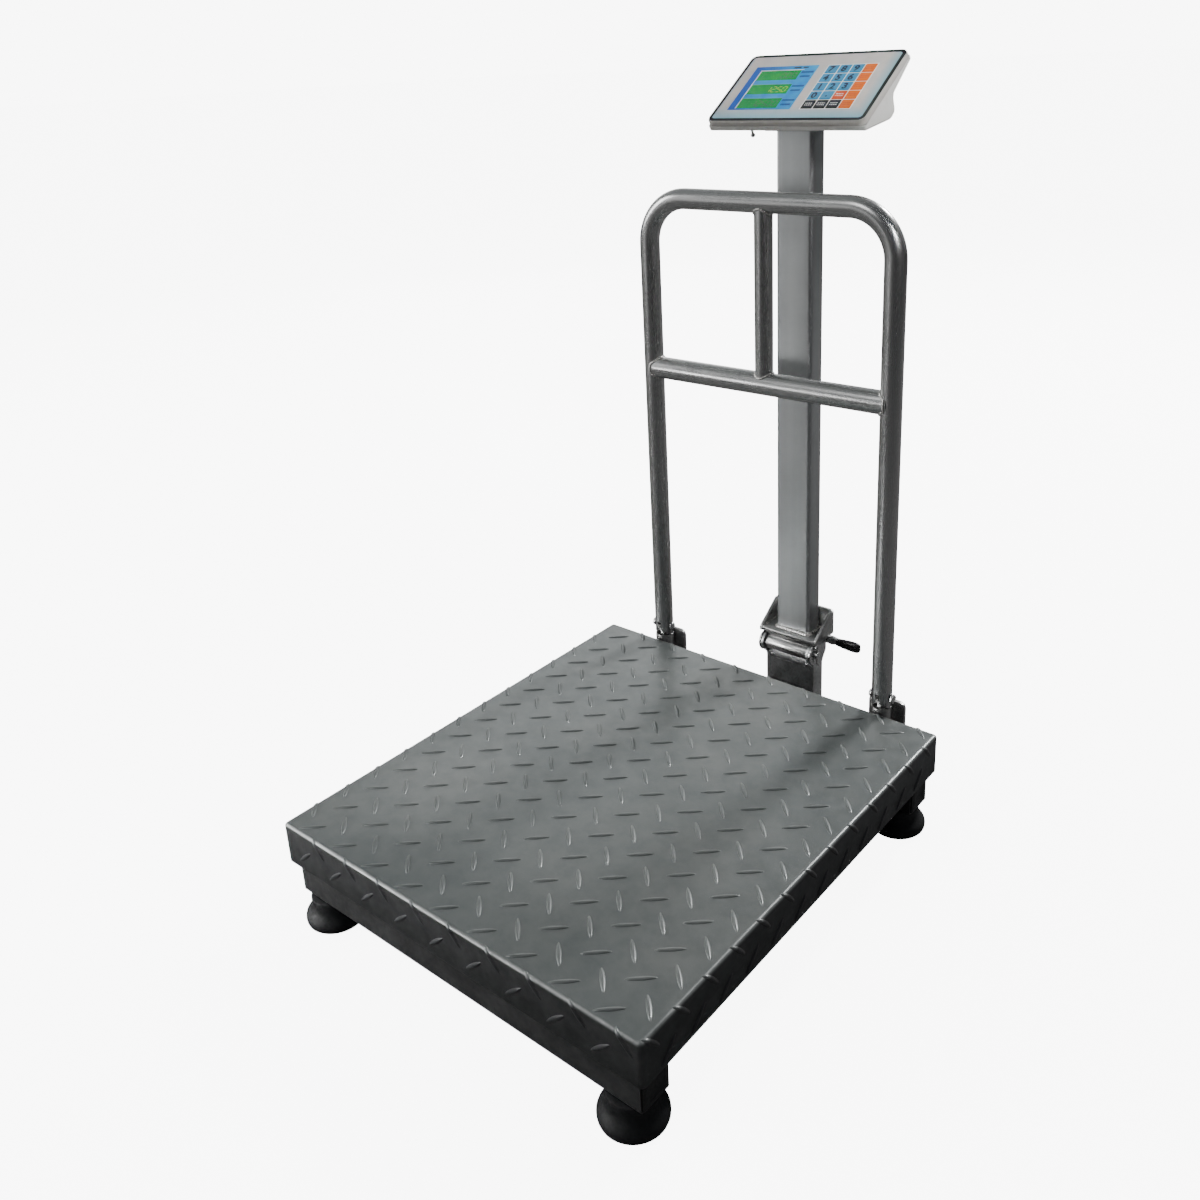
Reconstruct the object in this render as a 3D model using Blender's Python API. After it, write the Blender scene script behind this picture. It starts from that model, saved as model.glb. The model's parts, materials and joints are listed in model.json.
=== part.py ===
"""Folding-column electronic platform scale with a rear guard rail.

All driving sizes are in millimetres and are turned into metres where the
meshes are made. +Z is up, the platform's front faces -Y, X runs across it.
The floor is z = 0.
"""
import math
import bpy
import bmesh
from mathutils import Matrix, Vector

MM = 0.001
GAP = 0.3                      # air between neighbours that touch

# the object is built about the platform's centre, and then stands with the
# middle of its overall box at the origin
SHIFT_Y = -79.4

# ---------------------------------------------------------------- platform
PAN_W, PAN_D = 500.0, 565.0    # across, front to back
PAN_TOP = 125.0                # height of the weighing surface
PAN_SKIRT = 49.0
PAN_T = 2.0
PAN_R = 4.0
PAN_CORNER_R = 5.0

# ---------------------------------------------------------------- base
BEAM_H, BEAM_B, BEAM_T = 40.0, 40.0, 3.0
BEAM_Z0 = 35.0
BEAM_HALF = 240.0
BEAM_Y = 255.0                 # centre line of the cross beams
SPINE_HALF = 40.0
SPINE_Z0, SPINE_Z1 = 36.0, 61.0
FOOT_X, FOOT_Y = 214.0, 255.0
FOOT_R, FOOT_NECK_R, STUD_R = 34.0, 25.5, 6.0
FOOT_H = BEAM_Z0 - GAP
STUD_TOP = 60.0

# ---------------------------------------------------------------- top frame
TOP_Z0, TOP_Z1 = 92.7, 122.7
TOP_BAR_Y0, TOP_BAR_Y1 = 228.3, 268.0
TOP_RAIL_X0, TOP_RAIL_X1 = 206.0, 236.0
CENTRE_HALF, CENTRE_Z0 = 30.0, 102.5
CELL_L, CELL_W, CELL_H = 150.0, 40.0, 34.0

# ---------------------------------------------------------------- guard
GUARD_Y = 298.5                # plane of the guard
GUARD_X = 168.0                # uprights either side of the centre
GUARD_TOP = PAN_TOP + 606.0    # centre line of the top tube
GUARD_R, GUARD_WALL = 12.5, 1.5
GUARD_BEND = 56.0
GUARD_PIVOT_Z = PAN_TOP + 16.0
CROSSBAR_Z = PAN_TOP + 390.0
CROSSBAR_R = 14.0
STRUT_R = 11.0
LUG_HALF, LUG_TOP = 24.0, PAN_TOP + 5.0

# ---------------------------------------------------------------- mast
HINGE_Y, HINGE_Z = 356.6, PAN_TOP + 5.4
BARREL_R, PIN_R, WASHER_R = 10.0, 5.0, 14.0
POST_HALF, POST_T = 37.0, 4.0
POST_Y0, POST_Y1, POST_Z0 = 359.0, 382.0, 40.0
LIP_Z = PAN_TOP - 16.0
PLATE_Z0, PLATE_Z1 = PAN_TOP + 21.0, PAN_TOP + 26.0
PLATE_HALF = 44.0
PLATE_Y0 = 352.0
COL_W, COL_D, COL_R, COL_T = 50.0, 30.0, 4.0, 1.5
COL_Y0 = 365.0
BACK_Y0, BACK_Y1, BACK_TOP = 395.3, 399.3, PAN_TOP + 56.0
CLAMP_Z = PAN_TOP + 11.0
LEVER_END = 86.0

# ---------------------------------------------------------------- head
HEAD_Y, HEAD_Z = 389.0, PAN_TOP + 729.0     # centre of the panel's surface
HEAD_TILT = math.radians(34.0)
PANEL_U, PANEL_V, PANEL_T = 102.5, 61.0, 0.8
CASE_U, CASE_V, CASE_R = 105.5, 64.0, 9.0
BEZEL_D = 8.0
UNDER_FRONT, UNDER_REAR = (-61.5, -15.6), (-12.0, -39.6)   # flat underside
KEY_PITCH, KEY_SIZE, KEY_HOLE = 16.2, 14.8, 15.3
KEY_U0, KEY_V0 = 22.0, 30.0
KEY_TOP, KEY_BOTTOM, KEY_TRAVEL = 0.6, -2.6, 0.8
LCD_U0, LCD_U1 = -75.0, -19.0
LCD_V = (21.5, -4.7, -30.9)
LCD_HALF = 9.2

SEG = 28


# ================================================================ helpers
for old in list(bpy.data.objects):
    bpy.data.objects.remove(old, do_unlink=True)


def material(name, colour, rough, metal):
    m = bpy.data.materials.new(name)
    m.use_nodes = True
    b = m.node_tree.nodes["Principled BSDF"]
    b.inputs["Base Color"].default_value = (*colour, 1.0)
    b.inputs["Roughness"].default_value = rough
    b.inputs["Metallic"].default_value = metal
    m.diffuse_color = (*colour, 1.0)
    return m


M_TREAD = material("tread_plate", (0.30, 0.31, 0.31), 0.42, 0.9)
M_BASE = material("base_steel", (0.05, 0.05, 0.052), 0.55, 0.3)
M_FRAME = material("frame_steel", (0.12, 0.12, 0.125), 0.55, 0.4)
M_STAINLESS = material("satin_stainless", (0.55, 0.55, 0.54), 0.32, 1.0)
M_BRACKET = material("bracket_steel", (0.42, 0.43, 0.42), 0.38, 1.0)
M_ZINC = material("bright_zinc", (0.70, 0.70, 0.70), 0.22, 1.0)
M_RUBBER = material("black_rubber", (0.02, 0.02, 0.02), 0.7, 0.0)
M_GRIP = material("black_plastic", (0.018, 0.018, 0.02), 0.4, 0.0)
M_CASE = material("case_plastic", (0.72, 0.71, 0.68), 0.4, 0.0)
M_PANEL = material("panel_film", (0.50, 0.56, 0.57), 0.35, 0.0)
M_LCD = material("lcd_green", (0.10, 0.42, 0.08), 0.2, 0.0)
M_BOARD = material("circuit_board", (0.02, 0.20, 0.07), 0.5, 0.0)
M_BATTERY = material("battery_black", (0.05, 0.05, 0.06), 0.5, 0.0)
M_CELL = material("load_cell_aluminium", (0.72, 0.72, 0.74), 0.35, 1.0)
M_KEY_BLUE = material("key_blue", (0.20, 0.52, 0.74), 0.35, 0.0)
M_KEY_ORANGE = material("key_orange", (0.85, 0.32, 0.10), 0.35, 0.0)
M_KEY_RED = material("key_red", (0.80, 0.14, 0.05), 0.35, 0.0)
M_KEY_BLACK = material("key_black", (0.02, 0.02, 0.022), 0.35, 0.0)


def world(x, y, z):
    """Millimetres about the platform's centre, to metres in the scene."""
    return Vector((x * MM, (y + SHIFT_Y) * MM, z * MM))


def empty(name, at):
    e = bpy.data.objects.new(name, None)
    e.location = at
    e.empty_display_size = 0.03
    bpy.context.scene.collection.objects.link(e)
    return e


def finish(name, bm, mat, origin, parent=None, rot=None, smooth=True):
    """A mesh built in millimetres about its own origin becomes an object."""
    for v in bm.verts:
        v.co *= MM
    bmesh.ops.recalc_face_normals(bm, faces=bm.faces)
    me = bpy.data.meshes.new(name)
    bm.to_mesh(me)
    bm.free()
    me.materials.append(mat)
    if smooth:
        me.shade_smooth()
        me.set_sharp_from_angle(angle=math.radians(35))
    o = bpy.data.objects.new(name, me)
    bpy.context.scene.collection.objects.link(o)
    o.location = origin
    if rot is not None:
        o.rotation_euler = rot
    if parent is not None:
        o.parent = parent
        o.location = Vector(origin) - parent.location
    return o


def boolean(target, cutters, op="DIFFERENCE"):
    """Cut or join with meshes that are given in the target's own space."""
    for bm in cutters:
        for v in bm.verts:
            v.co *= MM
        bmesh.ops.recalc_face_normals(bm, faces=bm.faces)
        me = bpy.data.meshes.new("tool")
        bm.to_mesh(me)
        bm.free()
        c = bpy.data.objects.new("tool", me)
        bpy.context.scene.collection.objects.link(c)
        c.parent = target.parent
        c.location = target.location
        c.rotation_euler = target.rotation_euler
        c.hide_render = True
        c.display_type = 'WIRE'
        mod = target.modifiers.new("b", 'BOOLEAN')
        mod.operation = op
        mod.solver = 'EXACT'
        mod.object = c
        bpy.context.view_layer.update()
        dg = bpy.context.evaluated_depsgraph_get()
        new = bpy.data.meshes.new_from_object(target.evaluated_get(dg))
        target.modifiers.clear()
        old = target.data
        target.data = new
        bpy.data.meshes.remove(old)
        bpy.data.objects.remove(c, do_unlink=True)
        bpy.data.meshes.remove(me)
    target.data.name = target.name
    return target


def add_box(bm, x0, x1, y0, y1, z0, z1):
    m = Matrix.Translation(((x0 + x1) / 2, (y0 + y1) / 2, (z0 + z1) / 2)) @ \
        Matrix.Diagonal((x1 - x0, y1 - y0, z1 - z0, 1.0))
    bmesh.ops.create_cube(bm, size=1.0, matrix=m)
    return bm


def box(x0, x1, y0, y1, z0, z1):
    return add_box(bmesh.new(), x0, x1, y0, y1, z0, z1)


def prism(points, axis, a0, a1):
    """Extrude an outline. axis 'X': points are (y, z); 'Y': (x, z);
    'Z': (x, y)."""
    bm = bmesh.new()

    def co(p, a):
        if axis == 'X':
            return (a, p[0], p[1])
        if axis == 'Y':
            return (p[0], a, p[1])
        return (p[0], p[1], a)
    lo = [bm.verts.new(co(p, a0)) for p in points]
    hi = [bm.verts.new(co(p, a1)) for p in points]
    bm.faces.new(lo[::-1])
    bm.faces.new(hi)
    n = len(points)
    for i in range(n):
        j = (i + 1) % n
        bm.faces.new((lo[i], lo[j], hi[j], hi[i]))
    return bm


def rod(axis, a0, a1, r, c=(0.0, 0.0), seg=SEG):
    """A round bar along an axis; c is its centre in the other two axes."""
    pts = [(c[0] + r * math.cos(2 * math.pi * i / seg),
            c[1] + r * math.sin(2 * math.pi * i / seg)) for i in range(seg)]
    return prism(pts, axis, a0, a1)


def rounded_rect(hx, hy, r, n=4):
    pts = []
    for cx, cy, a in ((hx - r, hy - r, 0), (-hx + r, hy - r, 90),
                      (-hx + r, -hy + r, 180), (hx - r, -hy + r, 270)):
        for i in range(n + 1):
            t = math.radians(a + 90.0 * i / n)
            pts.append((cx + r * math.cos(t), cy + r * math.sin(t)))
    return pts


def lathe(profile, seg=SEG):
    """Turn (r, z) pairs about Z; a radius of 0 closes on the axis."""
    bm = bmesh.new()
    rings = []
    for r, z in profile:
        if r == 0:
            rings.append([bm.verts.new((0, 0, z))])
        else:
            rings.append([bm.verts.new((r * math.cos(2 * math.pi * i / seg),
                                        r * math.sin(2 * math.pi * i / seg), z))
                          for i in range(seg)])
    for a, b in zip(rings, rings[1:]):
        for i in range(seg):
            j = (i + 1) % seg
            if len(a) == 1:
                bm.faces.new((a[0], b[i], b[j]))
            elif len(b) == 1:
                bm.faces.new((a[i], a[j], b[0]))
            else:
                bm.faces.new((a[i], a[j], b[j], b[i]))
    if len(rings[0]) > 1:
        bm.faces.new(rings[0])
    if len(rings[-1]) > 1:
        bm.faces.new(rings[-1])
    return bm


def sweep_tube(path, r_out, r_in, up, seg=24, end_z=None):
    """A round tube along a flat path, open at both ends. up is a direction
    at right angles to the path's plane. end_z(y) shapes both ends."""
    bm = bmesh.new()
    n = len(path)
    outer, inner = [], []
    for k, p in enumerate(path):
        a = path[max(k - 1, 0)]
        b = path[min(k + 1, n - 1)]
        t1 = (p - a).normalized() if k > 0 else (b - p).normalized()
        t2 = (b - p).normalized() if k < n - 1 else t1
        t = (t1 + t2).normalized()
        side = t.cross(up).normalized()
        k_m = 1.0 / max(t.dot(t1), 0.5)
        for ring, r in ((outer, r_out), (inner, r_in)):
            vs = []
            for i in range(seg):
                w = 2 * math.pi * i / seg
                q = p + side * (r * k_m * math.cos(w)) + up * (r * math.sin(w))
                if end_z is not None and k in (0, n - 1):
                    q = Vector((q.x, q.y, end_z(q.y)))
                vs.append(bm.verts.new(q))
            ring.append(vs)
    for ring, flip in ((outer, False), (inner, True)):
        for a, b in zip(ring, ring[1:]):
            for i in range(seg):
                j = (i + 1) % seg
                f = (a[i], a[j], b[j], b[i])
                bm.faces.new(f[::-1] if flip else f)
    for k in (0, -1):
        for i in range(seg):
            j = (i + 1) % seg
            bm.faces.new((outer[k][i], outer[k][j], inner[k][j], inner[k][i]))
    return bm


def square_tube(name, x0, x1, y0, y1, z0, z1, wall, along, mat):
    """A box tube open at both ends, along 'X' or 'Y'."""
    o = finish(name, box(x0, x1, y0, y1, z0, z1), mat, world(0, 0, 0), smooth=False)
    w = wall
    if along == 'X':
        tool = box(x0 - 5, x1 + 5, y0 + w, y1 - w, z0 + w, z1 - w)
    else:
        tool = box(x0 + w, x1 - w, y0 - 5, y1 + 5, z0 + w, z1 - w)
    return boolean(o, [tool])


# ================================================================ base
def base_beam(name, yc):
    """Closed box beam; the stud holes in its floor open into the inside."""
    y0, y1 = yc - BEAM_B / 2, yc + BEAM_B / 2
    z0, z1 = BEAM_Z0, BEAM_Z0 + BEAM_H
    o = finish(name, box(-BEAM_HALF, BEAM_HALF, y0, y1, z0, z1), M_BASE,
               world(0, 0, 0), smooth=False)
    w = BEAM_T
    inside = box(-BEAM_HALF + w, BEAM_HALF - w, y0 + w, y1 - w, z0 + w, z1 - w)
    holes = [rod('Z', z0 - 3, z0 + w + 3, STUD_R + 0.5, (sx * FOOT_X, yc), 20)
             for sx in (-1, 1)]
    # the inside is joined to the holes first, so that one cut opens both
    tool = finish("tool_inside", inside, M_BASE, world(0, 0, 0), smooth=False)
    boolean(tool, holes, 'UNION')
    bm = bmesh.new()
    bm.from_mesh(tool.data)
    for v in bm.verts:
        v.co /= MM
    bpy.data.objects.remove(tool, do_unlink=True)
    return boolean(o, [bm])


base_beam("base_front_beam", -BEAM_Y)
base_beam("base_rear_beam", BEAM_Y)
y_in = BEAM_Y - BEAM_B / 2 - GAP
square_tube("base_spine", -SPINE_HALF, SPINE_HALF, -y_in, y_in,
            SPINE_Z0, SPINE_Z1, 3.0, 'Y', M_BASE)
square_tube("mast_outrigger", -32.0, 32.0, BEAM_Y + BEAM_B / 2 + GAP,
            POST_Y0 - GAP, 42.0, 72.0, 3.0, 'Y', M_BASE)

# ---- rubber feet, each moulded round its threaded stud
foot_profile = [(0, 0), (29.5, 0), (32.2, 1.6), (33.7, 4.2), (FOOT_R, 7.2),
                (33.6, 10.2), (31.6, 13.6), (28.6, 17.2), (26.6, 20.6),
                (FOOT_NECK_R, 24.5), (FOOT_NECK_R - 0.3, FOOT_H - 1.0),
                (FOOT_NECK_R - 1.3, FOOT_H), (STUD_R, FOOT_H),
                (STUD_R, STUD_TOP - 1.0), (STUD_R - 1.0, STUD_TOP),
                (0, STUD_TOP)]
for name, sx, sy in (("foot_front_left", -1, -1), ("foot_front_right", 1, -1),
                     ("foot_rear_left", -1, 1), ("foot_rear_right", 1, 1)):
    finish(name, lathe(foot_profile, 24), M_RUBBER,
           world(sx * FOOT_X, sy * FOOT_Y, 0))

# ---- load cell between the spine and the top frame
cell_z0 = SPINE_Z1 + GAP + 4.0 + GAP
cell_z1 = cell_z0 + CELL_H
finish("load_cell_spacer", box(-CELL_W / 2, CELL_W / 2, 32.0, CELL_L / 2,
                               SPINE_Z1 + GAP, SPINE_Z1 + GAP + 4.0),
       M_ZINC, world(0, 0, 0), smooth=False)
cell = finish("load_cell", box(-CELL_W / 2, CELL_W / 2, -CELL_L / 2, CELL_L / 2,
                               cell_z0, cell_z1), M_CELL, world(0, 0, 0))
zc = (cell_z0 + cell_z1) / 2
boolean(cell, [rod('X', -30, 30, 11.0, (-15.0, zc), 20),
               rod('X', -30, 30, 11.0, (15.0, zc), 20),
               box(-30, 30, -15, 15, zc - 5.0, zc + 5.0)])

# ---- top frame that carries the pan
square_tube("top_frame_front", -TOP_RAIL_X1, TOP_RAIL_X1, -TOP_BAR_Y1,
            -TOP_BAR_Y0, TOP_Z0, TOP_Z1, 2.5, 'X', M_FRAME)
square_tube("top_frame_rear", -TOP_RAIL_X1, TOP_RAIL_X1, TOP_BAR_Y0,
            TOP_BAR_Y1, TOP_Z0, TOP_Z1, 2.5, 'X', M_FRAME)
rail_y = TOP_BAR_Y0 - GAP
square_tube("top_frame_left", -TOP_RAIL_X1, -TOP_RAIL_X0, -rail_y, rail_y,
            TOP_Z0, TOP_Z1, 2.5, 'Y', M_FRAME)
square_tube("top_frame_right", TOP_RAIL_X0, TOP_RAIL_X1, -rail_y, rail_y,
            TOP_Z0, TOP_Z1, 2.5, 'Y', M_FRAME)
centre = square_tube("top_frame_centre", -CENTRE_HALF, CENTRE_HALF, -rail_y,
                     rail_y, CENTRE_Z0, TOP_Z1, 2.5, 'Y', M_FRAME)
boolean(centre, [box(-CELL_W / 2, CELL_W / 2, -CELL_L / 2, -32.0,
                     cell_z1 + GAP, CENTRE_Z0 + 1.0)], 'UNION')

# ---- tread-plate cover pan: a folded tray with rounded edges
def pan_ring(bm, inset, z):
    r = max(PAN_CORNER_R - inset, 1.5)
    return [bm.verts.new((x, y, z)) for x, y in
            rounded_rect(PAN_W / 2 - inset, PAN_D / 2 - inset, r, 4)]


bm = bmesh.new()
rings = []
z_low = PAN_TOP - PAN_SKIRT
rings.append(pan_ring(bm, PAN_T, z_low))
rings.append(pan_ring(bm, 0.0, z_low))
for i in range(5):
    a = math.radians(90.0 * i / 4)
    rings.append(pan_ring(bm, PAN_R * (1 - math.cos(a)),
                          PAN_TOP - PAN_R + PAN_R * math.sin(a)))
top_ring = rings[-1]
for a, b in zip(rings, rings[1:]):
    for i in range(len(a)):
        j = (i + 1) % len(a)
        bm.faces.new((a[i], a[j], b[j], b[i]))
bm.faces.new(top_ring)
under = pan_ring(bm, PAN_T, PAN_TOP - PAN_T)
a = rings[0]
for i in range(len(a)):
    j = (i + 1) % len(a)
    bm.faces.new((a[j], a[i], under[i], under[j]))
bm.faces.new(under[::-1])
finish("cover_pan", bm, M_TREAD, world(0, 0, 0))

# ================================================================ guard rail
GUARD_AXIS = world(0, GUARD_Y, GUARD_PIVOT_Z)
guard_pivot = empty("guard_pivot", GUARD_AXIS)


def hoop_path():
    """Up the left side, round, across and down, about the pivot line."""
    top = GUARD_TOP - GUARD_PIVOT_Z
    pts = [Vector((-GUARD_X, 0, 0)), Vector((-GUARD_X, 0, 14.0)),
           Vector((-GUARD_X, 0, top - GUARD_BEND))]
    steps = 7
    for i in range(1, steps + 1):
        w = math.radians(90.0 * i / steps)
        pts.append(Vector((-GUARD_X + GUARD_BEND * (1 - math.cos(w)), 0,
                           top - GUARD_BEND + GUARD_BEND * math.sin(w))))
    return pts + [Vector((-p.x, 0, p.z)) for p in reversed(pts)]


def round_end(y):
    return -math.sqrt(max(GUARD_R ** 2 - y * y, 0.0))


hoop = finish("guard_hoop",
              sweep_tube(hoop_path(), GUARD_R, GUARD_R - GUARD_WALL,
                         Vector((0, 1, 0)), 24, round_end),
              M_STAINLESS, GUARD_AXIS, guard_pivot)
for sx in (-1, 1):
    # cross hole for the pivot bolt, and the slot that clears its tongue
    boolean(hoop, [rod('X', sx * GUARD_X - 20, sx * GUARD_X + 20, 3.4,
                       (0.0, 0.0), 14),
                   box(sx * GUARD_X - 2.9, sx * GUARD_X + 2.9, -16.0, -4.0,
                       -16.0, 6.6)])

bar = finish("guard_crossbar",
             sweep_tube([Vector((-GUARD_X + 3, 0, CROSSBAR_Z - GUARD_PIVOT_Z)),
                         Vector((GUARD_X - 3, 0, CROSSBAR_Z - GUARD_PIVOT_Z))],
                        CROSSBAR_R, CROSSBAR_R - GUARD_WALL,
                        Vector((0, 1, 0)), 24),
             M_STAINLESS, GUARD_AXIS, guard_pivot)
boolean(bar, [rod('Z', CROSSBAR_Z - GUARD_PIVOT_Z - 30,
                  CROSSBAR_Z - GUARD_PIVOT_Z + 30, GUARD_R + GAP,
                  (sx * GUARD_X, 0.0), 24) for sx in (-1, 1)])

strut_z0 = CROSSBAR_Z - GUARD_PIVOT_Z
strut_z1 = GUARD_TOP - GUARD_PIVOT_Z
strut = finish("guard_strut",
               sweep_tube([Vector((0, 0, strut_z0 + 2)), Vector((0, 0, strut_z1 - 2))],
                          STRUT_R, STRUT_R - GUARD_WALL, Vector((0, 1, 0)), 24),
               M_STAINLESS, GUARD_AXIS, guard_pivot)
boolean(strut, [rod('X', -30, 30, CROSSBAR_R + GAP, (0.0, strut_z0), 24),
                rod('X', -30, 30, GUARD_R + GAP, (0.0, strut_z1), 24)])

# ---- lugs welded behind the rear beam, and the pivot bolts
for side, sx in (("left", -1), ("right", 1)):
    xc = sx * GUARD_X
    y0 = BEAM_Y + BEAM_B / 2 + GAP
    yb = GUARD_Y + GUARD_R + 1.0
    plate = [(xc - LUG_HALF, 56.0), (xc + LUG_HALF, 56.0),
             (xc + LUG_HALF, LUG_TOP - 7.0), (xc + LUG_HALF - 2.0, LUG_TOP - 2.0),
             (xc + LUG_HALF - 7.0, LUG_TOP), (xc - LUG_HALF + 7.0, LUG_TOP),
             (xc - LUG_HALF + 2.0, LUG_TOP - 2.0), (xc - LUG_HALF, LUG_TOP - 7.0)]
    lug = finish("guard_lug_" + side, prism(plate, 'Y', yb, yb + 5.0), M_BRACKET,
                 world(0, 0, 0))
    stub_top = GUARD_PIVOT_Z - GUARD_R - GAP
    tongue = [(GUARD_Y - 6.0, stub_top - 12.0), (GUARD_Y + 6.0, stub_top - 12.0)]
    tongue += [(GUARD_Y + 6.0 * math.cos(math.radians(w)),
                GUARD_PIVOT_Z + 6.0 * math.sin(math.radians(w)))
               for w in range(0, 181, 20)]
    boolean(lug, [box(xc - LUG_HALF, xc + LUG_HALF, y0, yb + 2.0, 56.0, 61.0),
                  rod('Z', 58.0, stub_top, GUARD_R, (xc, GUARD_Y), 24),
                  box(xc - 5.0, xc + 5.0, GUARD_Y + 5.0, yb + 2.0, 58.0,
                      stub_top - 1.0),
                  prism(tongue, 'X', xc - 2.5, xc + 2.5)], 'UNION')
    boolean(lug, [rod('X', xc - 6, xc + 6, 3.4, (GUARD_Y, GUARD_PIVOT_Z), 14)])
    # bolt along X: domed head inboard, thin nut outboard
    half = GUARD_R + GAP
    prof = [(0, -half - 4.2), (2.8, -half - 3.9), (4.9, -half - 2.4),
            (5.6, -half), (3.0, -half), (3.0, half), (5.2, half),
            (5.2, half + 3.6), (4.6, half + 4.2), (0, half + 4.2)]
    bm = lathe(prof, 16)
    bmesh.ops.rotate(bm, verts=bm.verts, cent=(0, 0, 0),
                     matrix=Matrix.Rotation(math.radians(90), 3, 'Y'))
    if sx > 0:
        bmesh.ops.rotate(bm, verts=bm.verts, cent=(0, 0, 0),
                         matrix=Matrix.Rotation(math.radians(180), 3, 'Z'))
    finish("guard_bolt_" + side, bm, M_ZINC, world(xc, GUARD_Y, GUARD_PIVOT_Z))

# ================================================================ lower post
def arc(cy, cz, r, a0, a1, n):
    return [(cy + r * math.cos(math.radians(a0 + (a1 - a0) * i / n)),
             cz + r * math.sin(math.radians(a0 + (a1 - a0) * i / n)))
            for i in range(n + 1)]


cheek = [(POST_Y0, POST_Z0), (POST_Y1, POST_Z0), (POST_Y1, 108.0),
         (386.0, 115.0), (391.0, 121.0), (392.0, 125.0), (392.0, 138.0),
         (390.6, 141.6), (387.0, 143.4)]
cheek += arc(HINGE_Y, HINGE_Z, 13.0, 90.0, 222.0, 9)
cheek += [(POST_Y0 - 6.5, 116.5), (POST_Y0 - 1.5, 112.0), (POST_Y0, 108.0)]
post = finish("lower_post", prism(cheek, 'X', POST_HALF - POST_T, POST_HALF),
              M_BRACKET, world(0, 0, 0))
boolean(post, [box(-POST_HALF, POST_HALF, POST_Y0, POST_Y0 + POST_T,
                   POST_Z0, LIP_Z),
               prism(cheek, 'X', -POST_HALF, -POST_HALF + POST_T),
               box(-POST_HALF + 1, POST_HALF - 1, 381.5, 385.5, 121.0, 143.2)],
        'UNION')
boolean(post, [rod('X', -60, 60, PIN_R + GAP, (HINGE_Y, HINGE_Z), 24),
               rod('Y', 370, 390, 4.4, (0.0, CLAMP_Z), 20)])

# ---- hinge pin with its head, washer and split pin
bm = lathe([(0, -41.0), (9.0, -41.0), (13.0, -40.2), (WASHER_R, -39.0),
            (WASHER_R, -POST_HALF - GAP), (PIN_R, -POST_HALF - GAP),
            (PIN_R, 45.0), (PIN_R - 1.0, 46.0), (0, 46.0)], 24)
bmesh.ops.rotate(bm, verts=bm.verts, cent=(0, 0, 0),
                 matrix=Matrix.Rotation(math.radians(90), 3, 'Y'))
pin = finish("hinge_pin", bm, M_ZINC, world(0, HINGE_Y, HINGE_Z))
boolean(pin, [rod('Z', -9, 9, 1.7, (43.0, 0.0), 12)])

washer = finish("hinge_washer", rod('X', POST_HALF + GAP, POST_HALF + GAP + 3.2,
                                    WASHER_R, (0.0, 0.0), 28), M_ZINC,
                world(0, HINGE_Y, HINGE_Z))
boolean(washer, [rod('X', 20, 60, PIN_R + GAP, (0.0, 0.0), 24)])


def curve_solid(name, pts, r, mat, origin, res=2):
    cu = bpy.data.curves.new(name, 'CURVE')
    cu.dimensions = '3D'
    cu.bevel_depth = r * MM
    cu.bevel_resolution = res
    cu.use_fill_caps = True
    sp = cu.splines.new('POLY')
    sp.points.add(len(pts) - 1)
    for q, p in zip(sp.points, pts):
        q.co = (p[0] * MM, p[1] * MM, p[2] * MM, 1.0)
    cu.materials.append(mat)
    o = bpy.data.objects.new(name, cu)
    bpy.context.scene.collection.objects.link(o)
    o.location = origin
    return o


# straight through the pin, with an eye above and its tail bent below
split = [(43.0, 0.0, -13.5), (43.0, 0.0, -12.0), (43.0, 0.0, 8.2)]
split += [(43.0, 2.6 * math.sin(math.radians(w)), 10.8 - 2.6 * math.cos(math.radians(w)))
          for w in range(30, 301, 30)]
split[0] = (45.0, 1.5, -14.6)
curve_solid("split_pin", split, 1.2, M_ZINC, world(0, HINGE_Y, HINGE_Z))

# ================================================================ mast
MAST_AXIS = world(0, HINGE_Y, HINGE_Z)
mast = empty("mast_hinge", MAST_AXIS)


def mast_local(y, z):
    return y - HINGE_Y, z - HINGE_Z


def mast_box(x0, x1, y0, y1, z0, z1):
    return box(x0, x1, y0 - HINGE_Y, y1 - HINGE_Y, z0 - HINGE_Z, z1 - HINGE_Z)


bracket = finish("upper_bracket", mast_box(-PLATE_HALF, PLATE_HALF, PLATE_Y0,
                                           BACK_Y1, PLATE_Z0, PLATE_Z1),
                 M_BRACKET, MAST_AXIS, mast)
gusset = [mast_local(PLATE_Y0 + 1.5, PLATE_Z1 - 1.0),
          mast_local(BACK_Y1 - 1.0, PLATE_Z1 - 1.0),
          mast_local(BACK_Y1 - 1.0, BACK_TOP - 2.0),
          mast_local(BACK_Y0 - 4.0, BACK_TOP - 2.0),
          mast_local(PLATE_Y0 + 1.5, PLATE_Z1 + 1.5)]
back = [(-PLATE_HALF, PLATE_Z1 - HINGE_Z - 1), (PLATE_HALF, PLATE_Z1 - HINGE_Z - 1),
        (PLATE_HALF, BACK_TOP - HINGE_Z - 4), (PLATE_HALF - 1.2, BACK_TOP - HINGE_Z - 1.2),
        (PLATE_HALF - 4, BACK_TOP - HINGE_Z), (-PLATE_HALF + 4, BACK_TOP - HINGE_Z),
        (-PLATE_HALF + 1.2, BACK_TOP - HINGE_Z - 1.2),
        (-PLATE_HALF, BACK_TOP - HINGE_Z - 4)]
barrel_half = POST_HALF - POST_T - 0.8
boolean(bracket, [
    prism(back, 'Y', BACK_Y0 - HINGE_Y, BACK_Y1 - HINGE_Y),
    prism(gusset, 'X', PLATE_HALF - 4.0, PLATE_HALF),
    prism(gusset, 'X', -PLATE_HALF, -PLATE_HALF + 4.0),
    mast_box(-barrel_half, barrel_half, 353.5, 360.5, 134.0, PLATE_Z0 + 1.0),
    rod('X', -barrel_half, barrel_half, BARREL_R, (0.0, 0.0), 28),
    mast_box(-20.0, 20.0, 388.6, 392.3, 131.0, PLATE_Z0 + 1.0)], 'UNION')
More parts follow.
